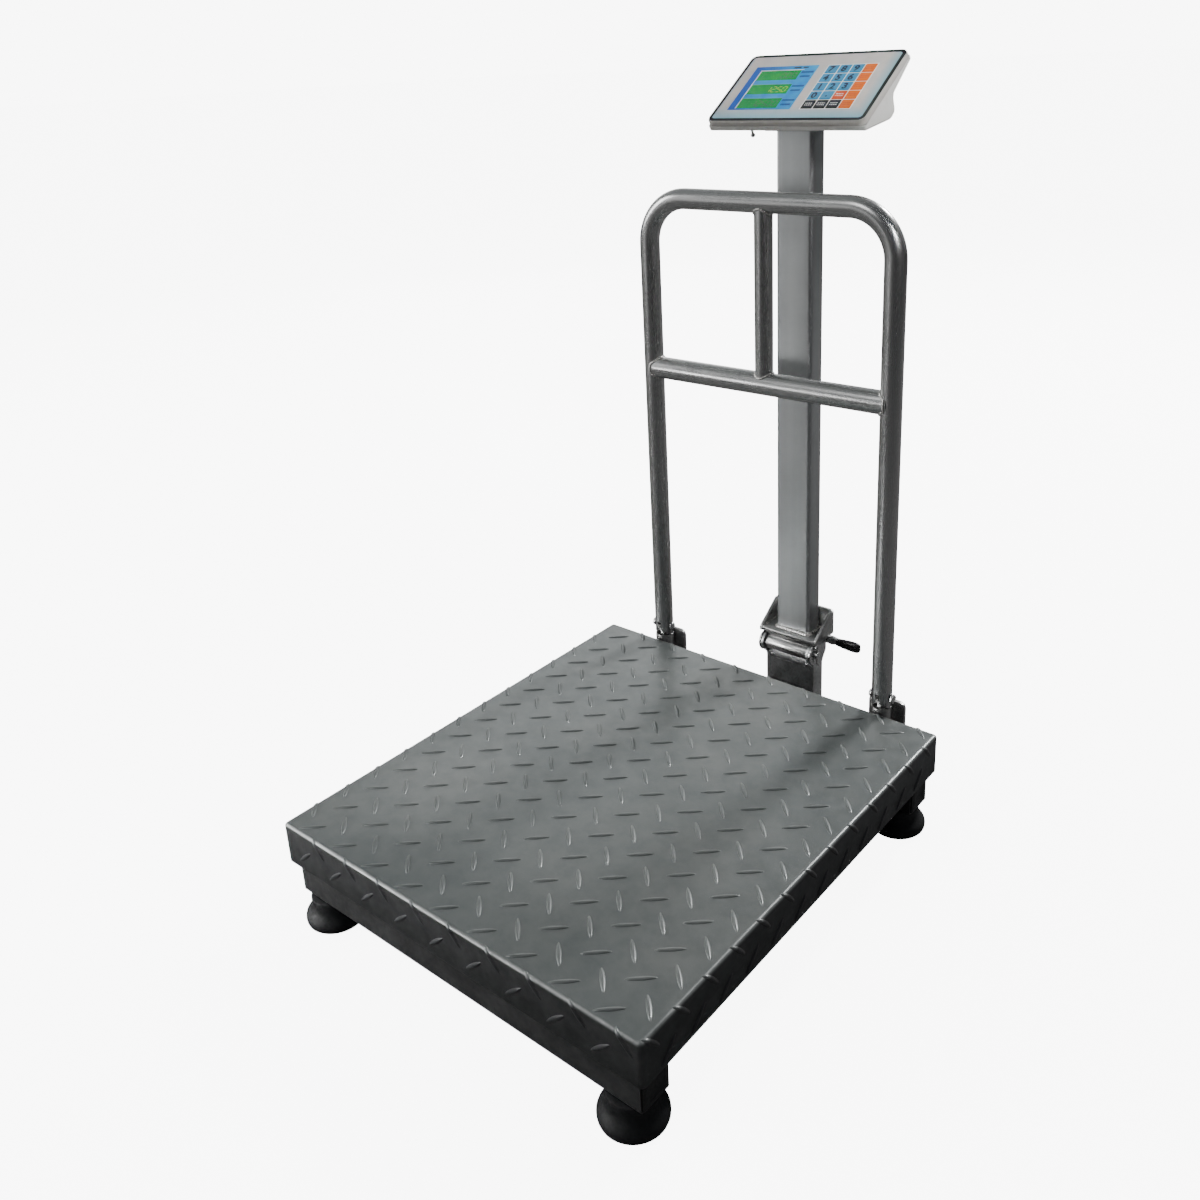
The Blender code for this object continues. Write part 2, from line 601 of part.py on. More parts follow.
boolean(bracket, [rod('X', -60, 60, PIN_R + GAP, (0.0, 0.0), 24),
                  mast_box(-4.6, 4.6, 380.0, 394.0, 120.0, CLAMP_Z),
                  rod('Y', 380.0 - HINGE_Y, 394.0 - HINGE_Y, 4.6,
                      (0.0, CLAMP_Z - HINGE_Z), 20)])


def head_to_world(v, n):
    """A point of the head's side profile, as (y, z) of the whole object."""
    c, s = math.cos(HEAD_TILT), math.sin(HEAD_TILT)
    return HEAD_Y + v * c - n * s, HEAD_Z + v * s + n * c


def under_z(y):
    """Height of the head case's underside, which slopes a little."""
    (ya, za), (yb, zb) = head_to_world(*UNDER_FRONT), head_to_world(*UNDER_REAR)
    return za + (y - ya) * (zb - za) / (yb - ya)


def column():
    """Rectangular tube, its top cut to the head's slope."""
    bm = bmesh.new()
    yc = COL_Y0 + COL_D / 2
    out = rounded_rect(COL_W / 2, COL_D / 2, COL_R, 4)
    inn = rounded_rect(COL_W / 2 - COL_T, COL_D / 2 - COL_T, COL_R - COL_T, 4)
    levels = []
    for pts in (out, inn):
        lo = [bm.verts.new((x, y + yc - HINGE_Y, PLATE_Z1 + GAP - HINGE_Z))
              for x, y in pts]
        hi = [bm.verts.new((x, y + yc - HINGE_Y,
                            under_z(y + yc) - 3.0 - 2 * GAP - HINGE_Z))
              for x, y in pts]
        levels.append((lo, hi))
    n = len(out)
    for i in range(n):
        j = (i + 1) % n
        (olo, ohi), (ilo, ihi) = levels
        bm.faces.new((olo[i], olo[j], ohi[j], ohi[i]))
        bm.faces.new((ilo[j], ilo[i], ihi[i], ihi[j]))
        bm.faces.new((ohi[i], ohi[j], ihi[j], ihi[i]))
        bm.faces.new((olo[j], olo[i], ilo[i], ilo[j]))
    return bm


finish("column_post", column(), M_STAINLESS, MAST_AXIS, mast)

y0, y1 = 359.0, 400.5
plate = [mast_local(y0, under_z(y0) - GAP - 3.0), mast_local(y1, under_z(y1) - GAP - 3.0),
         mast_local(y1, under_z(y1) - GAP), mast_local(y0, under_z(y0) - GAP)]
finish("head_mount_plate", prism(plate, 'X', -36.0, 36.0), M_BRACKET, MAST_AXIS,
       mast, smooth=False)

# ================================================================ head
HEAD_AT = world(0, HEAD_Y, HEAD_Z)
HEAD_ROT = (HEAD_TILT, 0.0, 0.0)


def head_part(name, bm, mat, smooth=True):
    """Built with x across, y up the panel's slope and z out of it."""
    return finish(name, bm, mat, HEAD_AT, mast, HEAD_ROT, smooth)


def slab(hu, hv, r, n0, n1, seg=4, cu=0.0, cv=0.0):
    return prism([(x + cu, y + cv) for x, y in rounded_rect(hu, hv, r, seg)],
                 'Z', n0, n1)


bezel = head_part("head_bezel", slab(CASE_U, CASE_V, CASE_R, -BEZEL_D, 0.0, 5), M_CASE)
boolean(bezel, [slab(PANEL_U + GAP, PANEL_V + GAP, CASE_R - 2.4, -1.1, 3.0, 5),
                slab(97.0, 55.5, 4.0, -12.0, 3.0, 3),
                slab(CASE_U - 3.0, CASE_V - 3.0, CASE_R - 3.0, -12.0, -3.6, 4)])

panel = head_part("overlay_panel", slab(PANEL_U, PANEL_V, CASE_R - 2.8,
                                        -PANEL_T, 0.0, 5), M_PANEL)
windows = bmesh.new()
for v in LCD_V:
    add_box(windows, LCD_U0, LCD_U1, v - LCD_HALF, v + LCD_HALF, -3.0, 3.0)
for row in range(5):
    for col in range(4):
        u = KEY_U0 + KEY_PITCH * col
        v = KEY_V0 - KEY_PITCH * row
        add_box(windows, u - KEY_HOLE / 2, u + KEY_HOLE / 2, v - KEY_HOLE / 2,
                v + KEY_HOLE / 2, -3.0, 3.0)
boolean(panel, [windows])

head_part("lcd_display", box(-80.0, -14.0, -43.5, 34.0, -4.0, -1.2), M_LCD, False)
head_part("main_board", slab(90.0, 50.0, 3.0, -6.0, -4.4, 2), M_BOARD, False)
head_part("battery", slab(35.0, 12.0, 2.0, -20.5, -8.2, 2, 0.0, -24.0), M_BATTERY)


def offset_outline(pts, d):
    """Move each side of a convex or gently bent outline inwards by d."""
    n = len(pts)
    area = sum(pts[i][0] * pts[(i + 1) % n][1] - pts[(i + 1) % n][0] * pts[i][1]
               for i in range(n))
    s = 1.0 if area > 0 else -1.0
    out = []
    for i in range(n):
        p0, p1, p2 = Vector(pts[i - 1]), Vector(pts[i]), Vector(pts[(i + 1) % n])
        e1, e2 = (p1 - p0).normalized(), (p2 - p1).normalized()
        n1 = Vector((-e1.y, e1.x)) * s
        n2 = Vector((-e2.y, e2.x)) * s
        m = (n1 + n2)
        m = m / m.length
        out.append(tuple(p1 + m * (d / max(m.dot(n1), 0.3))))
    return out


shell_top = -BEZEL_D - GAP
outline = [(-CASE_V, shell_top), (-CASE_V, -13.5), UNDER_FRONT, UNDER_REAR,
           (-7.5, -40.6), (0.5, -39.4), (3.6, -36.0), (7.0, -23.6), (10.2, -20.4),
           (59.0, -13.8), (62.6, -12.4), (CASE_V, shell_top)]
shell = head_part("head_rear_shell", prism(outline, 'X', -CASE_U, CASE_U), M_CASE)
inner = offset_outline(outline, 2.5)
inner[0] = (-CASE_V + 2.5, shell_top + 4.0)
inner[-1] = (CASE_V - 2.5, shell_top + 4.0)
boolean(shell, [prism(inner, 'X', -CASE_U + 2.5, CASE_U - 2.5)])

# ---- toggle switch under the case, near its left end
SW_U, SW_V = -55.0, -49.5
under_dir = Vector(UNDER_REAR) - Vector(UNDER_FRONT)
sw_n = UNDER_FRONT[1] + (SW_V - UNDER_FRONT[0]) * under_dir.y / under_dir.x
under_dir.normalize()
sw_down = Vector((0.0, under_dir.y, -under_dir.x))       # straight out of the case
hole = rod('Z', -9, 9, 3.6, (0.0, 0.0), 16)
turn = Vector((0, 0, 1)).rotation_difference(-sw_down).to_matrix()
bmesh.ops.rotate(hole, verts=hole.verts, cent=(0, 0, 0), matrix=turn)
bmesh.ops.translate(hole, verts=hole.verts, vec=(SW_U, SW_V, sw_n + 1.0))
boolean(shell, [hole])
sw_prof = [(0, 4.0), (2.2, 3.6), (2.8, 1.8), (2.8, -1.6), (1.7, -2.6),
           (1.5, -7.2), (2.5, -8.4), (2.9, -9.8), (2.5, -11.2), (1.3, -12.2), (0, -12.4)]
bm = lathe(sw_prof[::-1], 14)
lean = Matrix.Rotation(math.radians(10.0), 3, 'X')
bmesh.ops.rotate(bm, verts=bm.verts, cent=(0, 0, 0), matrix=turn @ lean)
head_m = Matrix.Rotation(HEAD_TILT, 3, 'X')
sw_at = HEAD_AT + head_m @ Vector((SW_U, SW_V, sw_n + 1.2)) * MM
finish("power_switch", bm, M_ZINC, sw_at, mast, HEAD_ROT)

# ---- keys: four columns by five rows, each in its own window
KEYS = [["key_7", "key_8", "key_9", "key_memory_1"],
        ["key_4", "key_5", "key_6", "key_memory_2"],
        ["key_1", "key_2", "key_3", "key_memory_3"],
        ["key_0", "key_dot", "key_clear", "key_memory_4"],
        ["key_zero", "key_tare", "key_total", "key_memory_5"]]
for row in range(5):
    for col in range(4):
        name = KEYS[row][col]
        mat = M_KEY_BLUE
        if col == 3:
            mat = M_KEY_ORANGE
        elif row == 4:
            mat = M_KEY_BLACK
        elif name == "key_clear":
            mat = M_KEY_RED
        h = KEY_SIZE / 2
        bm = bmesh.new()
        lo = [bm.verts.new((x, y, KEY_BOTTOM)) for x, y in rounded_rect(h, h, 1.0, 1)]
        mid = [bm.verts.new((x, y, KEY_TOP - 0.3)) for x, y in rounded_rect(h, h, 1.0, 1)]
        hi = [bm.verts.new((x, y, KEY_TOP)) for x, y in
              rounded_rect(h - 0.4, h - 0.4, 0.8, 1)]
        bm.faces.new(lo[::-1])
        bm.faces.new(hi)
        for a, b in ((lo, mid), (mid, hi)):
            for i in range(len(a)):
                j = (i + 1) % len(a)
                bm.faces.new((a[i], a[j], b[j], b[i]))
        at = HEAD_AT + head_m @ Vector((KEY_U0 + KEY_PITCH * col,
                                        KEY_V0 - KEY_PITCH * row, 0.0)) * MM
        finish(name, bm, mat, at, mast, HEAD_ROT, smooth=False)

# ================================================================ clamp
LEVER_AT = world(0, 397.0, CLAMP_Z)
lever_axis = empty("clamp_axis", LEVER_AT)
bm = lathe([(0, 373.5 - 397.0), (6.4, 373.5 - 397.0), (7.0, 374.3 - 397.0),
            (7.0, 381.5 - GAP - 397.0), (4.0, 381.5 - GAP - 397.0),
            (4.0, 403.6 - 397.0), (3.2, 404.4 - 397.0), (0, 404.4 - 397.0)], 18)
bmesh.ops.rotate(bm, verts=bm.verts, cent=(0, 0, 0),
                 matrix=Matrix.Rotation(math.radians(-90), 3, 'X'))
finish("clamp_bolt", bm, M_ZINC, LEVER_AT, lever_axis)

LY0, LY1 = 393.4 - 397.0, 398.8 - 397.0
arm = [(0.0, -5.0), (30.0, -4.2), (44.0, -5.6), (49.5, -4.4), (56.0, -3.4),
       (56.0, 3.4), (49.5, 4.4), (44.0, 5.6), (30.0, 4.2), (0.0, 5.0)]
lever = finish("clamp_lever", prism(arm, 'Y', LY0, LY1), M_ZINC, LEVER_AT, lever_axis)
boolean(lever, [rod('Y', 392.7 - 397.0, 401.6 - 397.0, 9.4, (0.0, 0.0), 24)], 'UNION')
boolean(lever, [rod('Y', -12, 12, 4.0 + GAP, (0.0, 0.0), 20)])

grip_pts = [(50.2, -4.8), (56.0, -5.6), (66.0, -6.4), (80.0, -6.2), (84.6, -4.6),
            (LEVER_END, -1.6), (LEVER_END, 2.4), (84.6, 4.6), (78.0, 5.6),
            (60.0, 5.4), (50.2, 4.8)]
grip = finish("lever_grip", prism(grip_pts, 'Y', LY0 - 1.6, LY1 + 1.6), M_GRIP,
              LEVER_AT, lever_axis)
boolean(grip, [box(40.0, 56.4, LY0 - GAP, LY1 + GAP, -4.75, 4.75)])
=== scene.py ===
"""Looks for the folding-column platform scale: detailed meshes and materials around the fixed CAD frame."""
import json
import math
import random

import bpy
import bmesh
from mathutils import Matrix, Vector, noise

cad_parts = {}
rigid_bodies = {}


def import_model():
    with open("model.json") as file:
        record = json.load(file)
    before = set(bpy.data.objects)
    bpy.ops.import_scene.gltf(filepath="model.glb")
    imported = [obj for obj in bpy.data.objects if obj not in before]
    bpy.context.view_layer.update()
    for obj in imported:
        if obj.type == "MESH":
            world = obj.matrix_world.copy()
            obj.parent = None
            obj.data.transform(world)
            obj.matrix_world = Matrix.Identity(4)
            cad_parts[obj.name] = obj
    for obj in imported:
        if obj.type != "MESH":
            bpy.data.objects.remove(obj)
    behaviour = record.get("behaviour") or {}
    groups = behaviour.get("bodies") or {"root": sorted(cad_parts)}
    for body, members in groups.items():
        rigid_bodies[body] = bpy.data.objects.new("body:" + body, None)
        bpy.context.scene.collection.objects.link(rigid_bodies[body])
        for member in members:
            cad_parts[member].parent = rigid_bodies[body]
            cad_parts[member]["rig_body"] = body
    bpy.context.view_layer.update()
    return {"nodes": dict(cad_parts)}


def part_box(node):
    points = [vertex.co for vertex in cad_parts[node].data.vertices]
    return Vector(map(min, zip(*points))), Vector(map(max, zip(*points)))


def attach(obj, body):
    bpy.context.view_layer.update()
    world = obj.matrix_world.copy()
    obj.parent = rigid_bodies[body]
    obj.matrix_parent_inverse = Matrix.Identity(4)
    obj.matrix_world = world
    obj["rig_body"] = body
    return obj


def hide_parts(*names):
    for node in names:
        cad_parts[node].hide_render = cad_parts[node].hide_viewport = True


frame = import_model()
random.seed(7)

MM = 0.001
col = bpy.context.scene.collection


def B(node):
    """Lowest and highest corner of a CAD node, in millimetres."""
    lo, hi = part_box(node)
    return lo / MM, hi / MM


# ================================================================ camera
def add_camera():
    C = Vector((0.729611, -0.914067, 0.896516))
    T = Vector((0.019023, -0.0794, 0.510762))
    roll, f = 0.0500346, 1145.309
    z = (T - C).normalized()
    x = z.cross(Vector((0, 0, 1))).normalized()
    y = z.cross(x)
    c, s = math.cos(roll), math.sin(roll)
    x2, y2 = c * x + s * y, -s * x + c * y
    cam = bpy.data.cameras.new("camera")
    co = bpy.data.objects.new("camera", cam)
    col.objects.link(co)
    m = Matrix((x2, -y2, -z)).transposed().to_4x4()
    m.translation = C
    co.matrix_world = m
    cam.sensor_width = 36.0
    cam.lens = f / 1200 * 36.0
    cam.shift_x = -(620 - 600) / 1200
    cam.shift_y = (460 - 600) / 1200
    cam.clip_start, cam.clip_end = 0.01, 200.0
    bpy.context.scene.camera = co


add_camera()


# ================================================================ materials
class Mat:
    """A Principled material built from nodes, with small helpers."""

    def __init__(self, name, metallic=0.0, rough=0.5, **sockets):
        self.m = bpy.data.materials.new(name)
        self.m.use_nodes = True
        self.t = self.m.node_tree
        self.b = self.t.nodes["Principled BSDF"]
        self.b.inputs["Metallic"].default_value = metallic
        self.b.inputs["Roughness"].default_value = rough
        for k, v in sockets.items():
            self.b.inputs[k.replace("_", " ")].default_value = v
        self.coord = None

    def node(self, kind, **kw):
        n = self.t.nodes.new(kind)
        for k, v in kw.items():
            setattr(n, k, v)
        return n

    def link(self, a, b):
        self.t.links.new(a, b)

    def coords(self, scale=(1, 1, 1), attr=None):
        if attr:
            src = self.node("ShaderNodeAttribute", attribute_name=attr).outputs["Vector"]
        else:
            src = self.node("ShaderNodeTexCoord").outputs["Object"]
        mp = self.node("ShaderNodeMapping")
        mp.inputs["Scale"].default_value = scale
        self.link(src, mp.inputs["Vector"])
        return mp.outputs["Vector"]

    def noise(self, scale, detail=3.0, rough=0.55, stretch=(1, 1, 1), attr=None, dist=0.0):
        n = self.node("ShaderNodeTexNoise")
        n.inputs["Scale"].default_value = scale
        n.inputs["Detail"].default_value = detail
        n.inputs["Roughness"].default_value = rough
        n.inputs["Distortion"].default_value = dist
        self.link(self.coords(stretch, attr), n.inputs["Vector"])
        return n.outputs["Fac"]

    def voronoi(self, scale, stretch=(1, 1, 1), feature="F1"):
        n = self.node("ShaderNodeTexVoronoi", feature=feature)
        n.inputs["Scale"].default_value = scale
        self.link(self.coords(stretch), n.inputs["Vector"])
        return n.outputs["Distance"]

    def attr(self, name):
        return self.node("ShaderNodeAttribute", attribute_name=name).outputs["Fac"]

    def ramp(self, fac, stops, interp="LINEAR"):
        r = self.node("ShaderNodeValToRGB")
        r.color_ramp.interpolation = interp
        e = r.color_ramp.elements
        while len(e) < len(stops):
            e.new(0.5)
        for el, (p, c) in zip(e, stops):
            el.position = p
            el.color = (*c, 1.0) if len(c) == 3 else c
        self.link(fac, r.inputs["Fac"])
        return r.outputs["Color"]

    def span(self, fac, lo, hi, a=0.0, b=1.0):
        n = self.node("ShaderNodeMapRange")
        n.inputs["From Min"].default_value = lo
        n.inputs["From Max"].default_value = hi
        n.inputs["To Min"].default_value = a
        n.inputs["To Max"].default_value = b
        self.link(fac, n.inputs["Value"])
        return n.outputs["Result"]

    def math(self, op, a, b=None):
        n = self.node("ShaderNodeMath", operation=op)
        for i, v in enumerate((a, b)):
            if v is None:
                continue
            if isinstance(v, (int, float)):
                n.inputs[i].default_value = v
            else:
                self.link(v, n.inputs[i])
        return n.outputs["Value"]

    def mix(self, fac, a, b, kind="MIX"):
        n = self.node("ShaderNodeMix", data_type="RGBA", blend_type=kind)
        if isinstance(fac, (int, float)):
            n.inputs["Factor"].default_value = fac
        else:
            self.link(fac, n.inputs["Factor"])
        for sock, v in ((n.inputs["A"], a), (n.inputs["B"], b)):
            pass
        ia = [i for i in n.inputs if i.name == "A" and i.type == "RGBA"][0]
        ib = [i for i in n.inputs if i.name == "B" and i.type == "RGBA"][0]
        for sock, v in ((ia, a), (ib, b)):
            if isinstance(v, tuple):
                sock.default_value = (*v, 1.0)
            else:
                self.link(v, sock)
        return [o for o in n.outputs if o.type == "RGBA"][0]

    def bump(self, *layers):
        """layers: (height socket, strength, distance in metres)"""
        prev = None
        for h, s, d in layers:
            n = self.node("ShaderNodeBump")
            n.inputs["Strength"].default_value = s
            n.inputs["Distance"].default_value = d
            self.link(h, n.inputs["Height"])
            if prev is not None:
                self.link(prev, n.inputs["Normal"])
            prev = n.outputs["Normal"]
        self.link(prev, self.b.inputs["Normal"])

    def colour(self, s):
        self.link(s, self.b.inputs["Base Color"])

    def rough(self, s):
        self.link(s, self.b.inputs["Roughness"])


def tread_material():
    k = Mat("tread_plate_coat", metallic=0.58, rough=0.4)
    big = k.noise(5.0, 4.0, 0.6)
    mid = k.noise(46.0, 5.0, 0.62)
    fine = k.noise(900.0, 2.0)
    c = k.ramp(big, [(0.28, (0.150, 0.165, 0.165)), (0.5, (0.190, 0.203, 0.201)),
                     (0.74, (0.220, 0.228, 0.223))])
    c = k.mix(k.span(mid, 0.42, 0.72, 0.0, 0.35), c, (0.115, 0.130, 0.136))
    # the folded edges are painted lighter: partly a painted highlight along the bends, partly rubbed wear in patches;
    # the bars' crowns get a faint painted highlight
    c = k.mix(k.math("MULTIPLY", k.attr("edge"), k.span(mid, 0.30, 0.70, 0.10, 0.9)),
              c, (0.46, 0.47, 0.46))
    # faint painted highlight on the crown of each bar
    c = k.mix(k.math("MULTIPLY", k.attr("bar"), 0.12), c, (0.40, 0.41, 0.405))
    # the skirts are painted darker all round: painted shade on the deck's sides
    dark = k.mix(k.span(mid, 0.3, 0.7), (0.060, 0.061, 0.063), (0.100, 0.101, 0.104))
    c = k.mix(k.attr("skirt"), c, dark)
    k.colour(c)
    r = k.span(k.noise(60.0, 5.0, 0.6), 0.3, 0.7, 0.30, 0.44)
    r = k.math("ADD", r, k.math("MULTIPLY", k.attr("skirt"), 0.10))
    k.rough(r)
    k.bump((mid, 0.10, 0.0006), (fine, 0.14, 0.0002), (k.noise(220.0, 3.0, 0.6), 0.16, 0.0003))
    return k.m


def brushed(name, base, r0, r1, attr="tc", tint=(0.40, 0.41, 0.42), strength=0.035, metallic=1.0, fine=1900.0):
    """Satin-ground tube: fine lines along it, faint long streaks, and a few handled patches."""
    k = Mat(name, metallic=metallic, rough=(r0 + r1) / 2)
    lines = k.noise(fine, 2.0, 0.6, attr=attr)
    soft = k.noise(110.0, 2.0, 0.5, attr=attr)
    patch = k.noise(14.0, 4.0, 0.6)
    c = k.mix(k.span(soft, 0.35, 0.7, 0.0, 0.35), base, tint)
    c = k.mix(k.span(patch, 0.42, 0.75, 0.0, 0.35), c, tuple(x * 0.80 for x in base))
    k.colour(c)
    k.rough(k.math("ADD", k.span(lines, 0.3, 0.7, r0, r1), k.span(patch, 0.3, 0.7, -0.03, 0.05)))
    k.bump((lines, strength, 0.0002), (patch, 0.05, 0.001))
    return k.m


def plate_steel(name, base, r0=0.30, r1=0.48, metallic=1.0):
    k = Mat(name, metallic=metallic, rough=0.38)
    big = k.noise(35.0, 4.0, 0.6)
    mid = k.noise(260.0, 4.0, 0.6)
    lines = k.noise(1500.0, 2.0, 0.5, (1.0, 1.0, 0.06))
    c = k.mix(k.span(big, 0.3, 0.7), base, tuple(x * 0.70 for x in base))
    c = k.mix(k.span(mid, 0.52, 0.78, 0.0, 0.6), c, tuple(x * 0.48 for x in base))
    k.colour(c)
    k.rough(k.span(mid, 0.3, 0.7, r0, r1))
    k.bump((lines, 0.10, 0.0002), (big, 0.12, 0.0006))
    return k.m


def weld_steel():
    k = Mat("weld_bead", metallic=0.95, rough=0.34)
    n = k.noise(300.0, 4.0, 0.65)
    c = k.ramp(n, [(0.3, (0.30, 0.29, 0.28)), (0.48, (0.60, 0.59, 0.57)), (0.62, (0.80, 0.78, 0.75)),
                   (0.8, (0.42, 0.37, 0.32))])
    k.colour(c)
    k.rough(k.span(k.noise(800.0, 2.0), 0.3, 0.7, 0.22, 0.5))
    k.bump((n, 0.35, 0.0004))
    return k.m


def zinc(name="bright_zinc_plate", base=(0.66, 0.66, 0.655)):
    k = Mat(name, metallic=1.0, rough=0.22)
    n = k.noise(120.0, 4.0, 0.6)
    k.colour(k.mix(k.span(n, 0.35, 0.7), base, tuple(x * 0.74 for x in base)))
    k.rough(k.span(k.noise(420.0, 3.0, 0.6), 0.3, 0.7, 0.14, 0.34))
    k.bump((k.noise(1400.0, 2.0), 0.08, 0.0002))
    return k.m


def paint(name, base, r0, r1, peel=0.18):
    """Sprayed enamel with orange peel and rubbed, dusty patches."""
    k = Mat(name, metallic=0.0, rough=(r0 + r1) / 2, Specular_IOR_Level=0.5)
    n = k.noise(30.0, 5.0, 0.62)
    c = k.mix(k.span(n, 0.4, 0.75), base, tuple(min(1.0, x * 1.7 + 0.006) for x in base))
    k.colour(c)
    k.rough(k.span(k.noise(140.0, 4.0), 0.3, 0.7, r0, r1))
    k.bump((k.noise(620.0, 2.0, 0.5), peel, 0.0003))
    return k.m


def rubber():
    k = Mat("moulded_rubber", rough=0.6, Specular_IOR_Level=0.4)
    n = k.noise(80.0, 5.0, 0.62)
    dust = k.span(k.noise(26.0, 4.0, 0.6), 0.5, 0.8, 0.0, 0.5)
    c = k.mix(k.span(n, 0.3, 0.75), (0.0075, 0.0075, 0.0085), (0.019, 0.019, 0.021))
    k.colour(k.mix(dust, c, (0.045, 0.044, 0.042)))
    k.rough(k.span(k.noise(300.0, 3.0), 0.3, 0.7, 0.48, 0.72))
    k.bump((k.noise(1600.0, 2.0), 0.25, 0.0002), (k.noise(240.0, 3.0), 0.12, 0.0004))
    return k.m


def plastic(name, base, r0=0.32, r1=0.46, grain=0.16, spec=0.5, scale=1800.0):
    k = Mat(name, rough=(r0 + r1) / 2, Specular_IOR_Level=spec)
    n = k.noise(24.0, 4.0, 0.6)
    k.colour(k.mix(k.span(n, 0.3, 0.75), base, tuple(x * 0.87 for x in base)))
    k.rough(k.span(k.noise(300.0, 3.0), 0.3, 0.7, r0, r1))
    k.bump((k.voronoi(scale), grain, 0.00015), (k.noise(60.0), 0.03, 0.0008))
    return k.m


def film():
    """Printed polyester panel: pale warm grey that turns blue towards its right and lower edges."""
    k = Mat("printed_film", rough=0.34, Specular_IOR_Level=0.4)
    sep = k.node("ShaderNodeSeparateXYZ")
    tc = k.node("ShaderNodeTexCoord")
    k.link(tc.outputs["Object"], sep.inputs["Vector"])
    x = k.span(sep.outputs["X"], 0.086, 0.102, 0.0, 1.0)
    z = k.span(sep.outputs["Z"], 0.834, 0.8225, 0.0, 1.0)
    e = k.math("MAXIMUM", x, z)
    e = k.math("MAXIMUM", e, k.span(sep.outputs["X"], -0.096, -0.102, 0.0, 0.8))
    n = k.noise(40.0, 3.0)
    c = k.mix(k.span(n, 0.3, 0.7), (0.60, 0.565, 0.535), (0.50, 0.485, 0.475))
    c = k.mix(k.math("MULTIPLY", e, 0.85), c, (0.20, 0.44, 0.55))
    k.colour(c)
    k.rough(k.span(k.noise(500.0, 2.0), 0.3, 0.7, 0.28, 0.40))
    k.bump((k.noise(1500.0, 2.0), 0.10, 0.0001), (k.noise(55.0), 0.05, 0.0006))
    return k.m


def ink(name, a, b=None, rough=0.36, scale=90.0, axis=None, lo=0.0, hi=1.0):
    """Printed colour; a fades to b along an axis, or patchily if none is given."""
    k = Mat(name, rough=rough, Specular_IOR_Level=0.45)
    b = b or tuple(min(1.0, v * 1.18 + 0.004) for v in a)
    if axis is None:
        c = k.mix(k.span(k.noise(scale, 3.0), 0.3, 0.7), a, b)
    else:
        tc = k.node("ShaderNodeTexCoord")
        sep = k.node("ShaderNodeSeparateXYZ")
        k.link(tc.outputs["Object"], sep.inputs["Vector"])
        wob = k.math("MULTIPLY", k.noise(scale, 3.0), (hi - lo) * 0.18)
        f = k.span(k.math("ADD", sep.outputs[axis], wob), lo, hi)
        c = k.mix(f, a, b)
    k.colour(c)
    k.rough(k.span(k.noise(500.0, 2.0), 0.3, 0.7, rough - 0.06, rough + 0.06))
    k.bump((k.noise(1800.0, 2.0), 0.08, 0.0001))
    return k.m


M_TREAD = tread_material()
M_TUBE = brushed("satin_stainless_tube", (0.55, 0.55, 0.545), 0.24, 0.31, tint=(0.46, 0.46, 0.46))
M_COLUMN = brushed("satin_stainless_column", (0.53, 0.545, 0.55), 0.30, 0.38, tint=(0.45, 0.465, 0.47), fine=1500.0)
M_PLATE = plate_steel("satin_plate_steel", (0.56, 0.56, 0.55), 0.26, 0.42)
M_POST = plate_steel("post_plate_steel", (0.62, 0.63, 0.63), 0.30, 0.46, 0.95)
M_WELD = weld_steel()
M_ZINC = zinc()
M_CONE = plate_steel("clamp_boss_steel", (0.36, 0.31, 0.28), 0.28, 0.46)
M_BASE = paint("base_enamel", (0.030, 0.030, 0.031), 0.36, 0.52)
M_INNER = paint("inner_frame_enamel", (0.060, 0.061, 0.064), 0.42, 0.60)
M_RUBBER = rubber()
M_GRIP = plastic("dipped_black_plastic", (0.011, 0.011, 0.012), 0.22, 0.36, 0.10)
M_PLUG = plastic("plug_black_plastic", (0.016, 0.016, 0.017), 0.42, 0.60, 0.25, scale=1200.0)
M_CASE = plastic("case_pale_plastic", (0.70, 0.695, 0.67), 0.30, 0.44, 0.18)
# darker copy of the case plastic for the bezel: painted shade on the front lip
M_BEZEL_SHADE = plastic("bezel_plastic_painted_shade", (0.47, 0.455, 0.43), 0.30, 0.44, 0.18)
M_FILM = film()
M_RIM = ink("rim_black_print", (0.0035, 0.0038, 0.0055), rough=0.5)
M_BLUE = ink("display_blue_print", (0.002, 0.095, 0.470), (0.020, 0.300, 0.640), axis="X", lo=-0.070, hi=0.004)
M_BLUE_D = ink("label_dark_blue_print", (0.004, 0.045, 0.200))
M_BLUE_L = ink("stripe_light_blue_print", (0.004, 0.210, 0.580), (0.030, 0.320, 0.660))
M_WHITE = ink("white_print", (0.80, 0.80, 0.78))
M_DIGIT = ink("digit_dark_print", (0.006, 0.012, 0.032))
M_LCD = ink("lcd_green_glass", (0.006, 0.250, 0.065), (0.016, 0.330, 0.060), rough=0.22)
M_SEG = ink("lcd_segments", (0.006, 0.060, 0.030))
M_SEGY = ink("lcd_segments_lit", (0.300, 0.520, 0.030))
M_KBLUE = plastic("key_blue_film", (0.045, 0.270, 0.500), 0.30, 0.42, 0.10)
M_KORANGE = plastic("key_orange_film", (0.780, 0.150, 0.014), 0.30, 0.42, 0.10)
M_KRED = plastic("key_red_film", (0.620, 0.085, 0.020), 0.30, 0.42, 0.10)
M_KBLACK = plastic("key_black_film", (0.012, 0.012, 0.015), 0.30, 0.42, 0.10)
M_BOARD = plastic("solder_mask_green", (0.012, 0.150, 0.050), 0.25, 0.40, 0.3, scale=500.0)
M_BATT = plastic("battery_case", (0.030, 0.030, 0.034), 0.40, 0.55, 0.2)
M_ALU = brushed("load_cell_alu", (0.70, 0.70, 0.72), 0.26, 0.42, attr=None, fine=1600.0)
# near-black fill for screw slots and vent openings: painted shade of those recesses
M_SHADE_FILL = plastic("painted_shade_slot", (0.006, 0.006, 0.006), 0.55, 0.7, 0.1)


